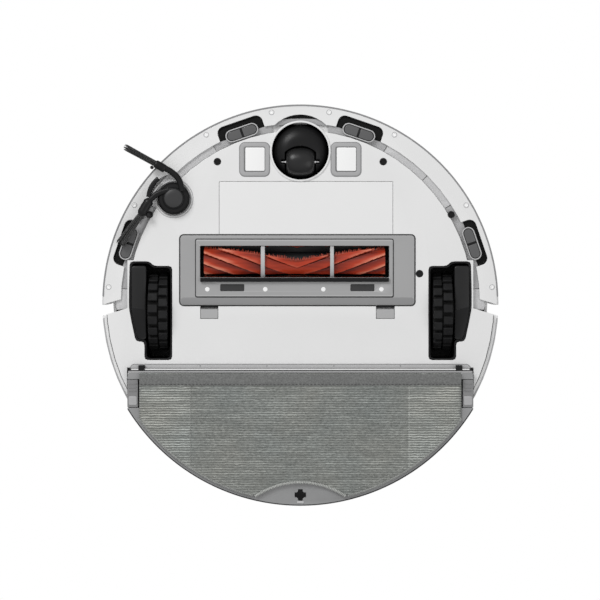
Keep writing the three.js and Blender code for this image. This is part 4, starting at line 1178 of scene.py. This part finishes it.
def strips_ahead_of_mop():
    """The lines between the brow and the mop, and the block and dark tab at each end; the light
    line is a painted highlight on the tank's lip, and the shade and gap lines are painted shade.
    """
    # Painted highlight on the lip of the smoked tank, then painted shade below it and in the gap
    # behind the ledge.
    for label, half, y, material in (
            ("light", 147, (56.7, 57.8), WHITE), ("shade", 149, (57.8, 58.7), DARK_LINE),
            ("ledge", 149.5, (58.7, 60.1), COVER_GRAY), ("gap", 139.4, (60.1, 61.2), DARK_LINE)):
        line = rounded_box((-half, half), y, min(0.5, (y[1] - y[0]) * 0.4))
        add_plate(f"tank_line_{label}", [line], (4.25, 4.65), 0.1, material, "smoke_plastic",
                  "tank")
    for name, sign in (("left", -1), ("right", 1)):
        corner = [(sign * x, y) for x, y in ((139, 60.1), (149.4, 60.1), (149.9, 60.6),
                                             (149.9, 65.8), (139, 65.8))]
        add_plate(f"tank_corner_{name}", [corner], (4.3, 9.4), 0.4, SMOKE, "smoke_plastic",
                  "tank")
        tab = rounded_box(sorted((sign * 135, sign * 140.7)), (53.6, 58.4), 0.6)
        add_plate(f"rear_tab_{name}", [tab], (3.9, 8.8), 0.2, BLACK, "black_plastic", "tank")


KEY = Vector((0, 166.3))
KEY_LOBE = 3.0                      # from the key hole's middle to the middle of a lobe


def key_hole():
    """A dark four-lobed socket for lifting the tank off, laid as a flat black sheet of painted
    shade, with its light tab.
    """
    lobes = [point for tip in (-90, 0, 90, 180)
             for point in arc((KEY.x + KEY_LOBE * math.cos(math.radians(tip)),
                               KEY.y + KEY_LOBE * math.sin(math.radians(tip))),
                              1.75, tip - 70, tip + 70, 7)]
    # Painted shade: a black sheet where the socket's hole is.
    add_plate("key_socket", [lobes], (4.3, 4.7), 0.1, NOTCH_BLACK, "black_plastic", "tank")
    add_plate("key_tab", [rounded_box((-3, 3), (171.6, 173.6), 0.7)], (4.0, 4.8), 0.25,
              LIGHT_GRAY, "smoke_plastic", "tank")


TANK_CORNER = 121.8                 # where the round side starts, in degrees from the front


def tank_edges():
    """Painted shade: a dark line where the tank's bottom turns up into its round side."""
    ring_part("tank_edge", (TANK_RADIUS - 1.1, TANK_RADIUS - 0.1),
              (TANK_CORNER, 360 - TANK_CORNER), (4.3, 5.1), 0.2, DARK_LINE, "smoke_plastic",
              "tank")


def latch_details():
    """Finger ribs and a pad on the two latches that hold the tank."""
    for name in ("left", "right"):
        node = f"tank_latch_{name}"
        low = span(node)[0].z
        x = middle(node).x
        for k, y in enumerate((69.5, 72.5, 75.5)):
            rib = rounded_box((x - 3.4, x + 3.4), (y, y + 1.2), 0.5)
            add_plate(f"latch_rib_{name}_{k + 1}", [rib], (low - 0.35, low + 0.3), 0.25,
                      LATCH_GRAY, "smoke_plastic", f"{name}_tank_latch")
        pad = rounded_box((x - 3.6, x + 3.6), (80.5, 88.2), 1.2)
        add_plate(f"latch_pad_{name}", [pad], (low - 0.3, low + 0.3), 0.25, CHANNEL,
                  "smoke_plastic", f"{name}_tank_latch")


# ---- Stage -----------------------------------------------------------------------------------

FLOOR_RADIUS = 0.8                  # metres, as are the places on the stage that follow
FLOOR_SIDES = 96


def stage_floor():
    """A pale floor that is seen and shadowed from above, and clear from below."""
    n = Nodes("pale_floor")
    n.tree.nodes.remove(n.shader)
    diffuse = n.add("ShaderNodeBsdfDiffuse", {"Color": (0.86, 0.86, 0.86)})
    glow = n.add("ShaderNodeEmission", {"Strength": 0.28})
    pale = n.add("ShaderNodeAddShader", {0: diffuse.outputs[0], 1: glow.outputs[0]})
    clear = n.add("ShaderNodeBsdfTransparent")
    behind = n.add("ShaderNodeNewGeometry").outputs["Backfacing"]
    seen = n.add("ShaderNodeLightPath").outputs["Is Camera Ray"]
    front = n.maths("MULTIPLY", seen, n.maths("SUBTRACT", 1.0, behind))
    mix = n.add("ShaderNodeMixShader", {0: front, 1: clear.outputs[0], 2: pale.outputs[0]})
    n.feed(n.tree.nodes["Material Output"], {"Surface": mix.outputs[0]})
    rim = [(x, y, 0) for x, y in arc((0, 0), FLOOR_RADIUS, 0, 360, FLOOR_SIDES)[:-1]]
    mesh = bpy.data.meshes.new("floor")
    mesh.from_pydata(rim, [], [tuple(range(FLOOR_SIDES))])
    floor = finish_mesh("floor", mesh, n.owner)
    floor.location.z = -0.0002


def area_light(name, place, size, power, target=(0, 0, 0.03)):
    data = bpy.data.lights.new(name, "AREA")
    data.shape = "DISK"
    data.size = size
    data.energy = power
    light = bpy.data.objects.new(name, data)
    light.location = place
    light.rotation_euler = (Vector(target) - Vector(place)).to_track_quat("-Z", "Y").to_euler()
    scene.collection.objects.link(light)


def lights():
    area_light("key_below", (-0.9, -1.3, -1.3), 0.9, 18)
    area_light("fill_below", (1.3, 0.6, -1.7), 1.6, 6)
    area_light("key_above", (-1.2, -1.4, 2.2), 1.2, 28)
    area_light("fill_above", (1.6, 1.0, 1.8), 1.6, 9)


def studio_world():
    """White to the camera; to the object, bright below and above and dimmer at the sides."""
    n = Nodes("studio", bpy.data.worlds, "Background")
    split = n.add("ShaderNodeSeparateXYZ", {0: n.coordinates["Generated"]})
    height = n.maths("ABSOLUTE", split.outputs["Z"])
    level = n.add("ShaderNodeMapRange", {"Value": height, "From Min": 0.05, "From Max": 0.75,
                                         "To Min": 0.22, "To Max": 0.62},
                  interpolation_type="SMOOTHSTEP")
    n.feed(n.shader, {"Strength": level.outputs["Result"], "Color": (1, 1, 1)})
    seen = n.add("ShaderNodeBackground", {"Color": (1, 1, 1)})
    path = n.add("ShaderNodeLightPath")
    mix = n.add("ShaderNodeMixShader", {0: path.outputs["Is Camera Ray"],
                                        1: n.shader.outputs[0], 2: seen.outputs[0]})
    n.feed(n.tree.nodes["World Output"], {"Surface": mix.outputs[0]})
    scene.world = n.owner
    scene.view_settings.view_transform = "Standard"


CAMERA_PLACE = (-0.0003, -0.003, -2.2246)


def camera():
    """Square on to the underside, from far enough away that the sides hardly show."""
    data = bpy.data.cameras.new("camera")
    data.lens = 154
    data.sensor_width = 36
    view = bpy.data.objects.new("camera", data)
    view.location = CAMERA_PLACE
    view.rotation_euler = (math.pi, 0, 0)
    scene.collection.objects.link(view)
    scene.camera = view


# ---- Build -----------------------------------------------------------------------------------

camera()
lights()
studio_world()
stage_floor()
dress_frame()
channel_ring()
shell_edges()
screws()
sensor_eyes()
charging_contacts()
caster()
for side, sign in (("left", -1), ("right", 1)):
    gearbox_cover(side, sign)
    drive_tyre(side, sign)
roller_blades()
roller_bristles()
brush_cover()
cover_surroundings()
side_brush()
cloth, cloth_area = mop()
trim = mop_trim()
tank_brow()
strips_ahead_of_mop()
key_hole()
tank_edges()
latch_details()
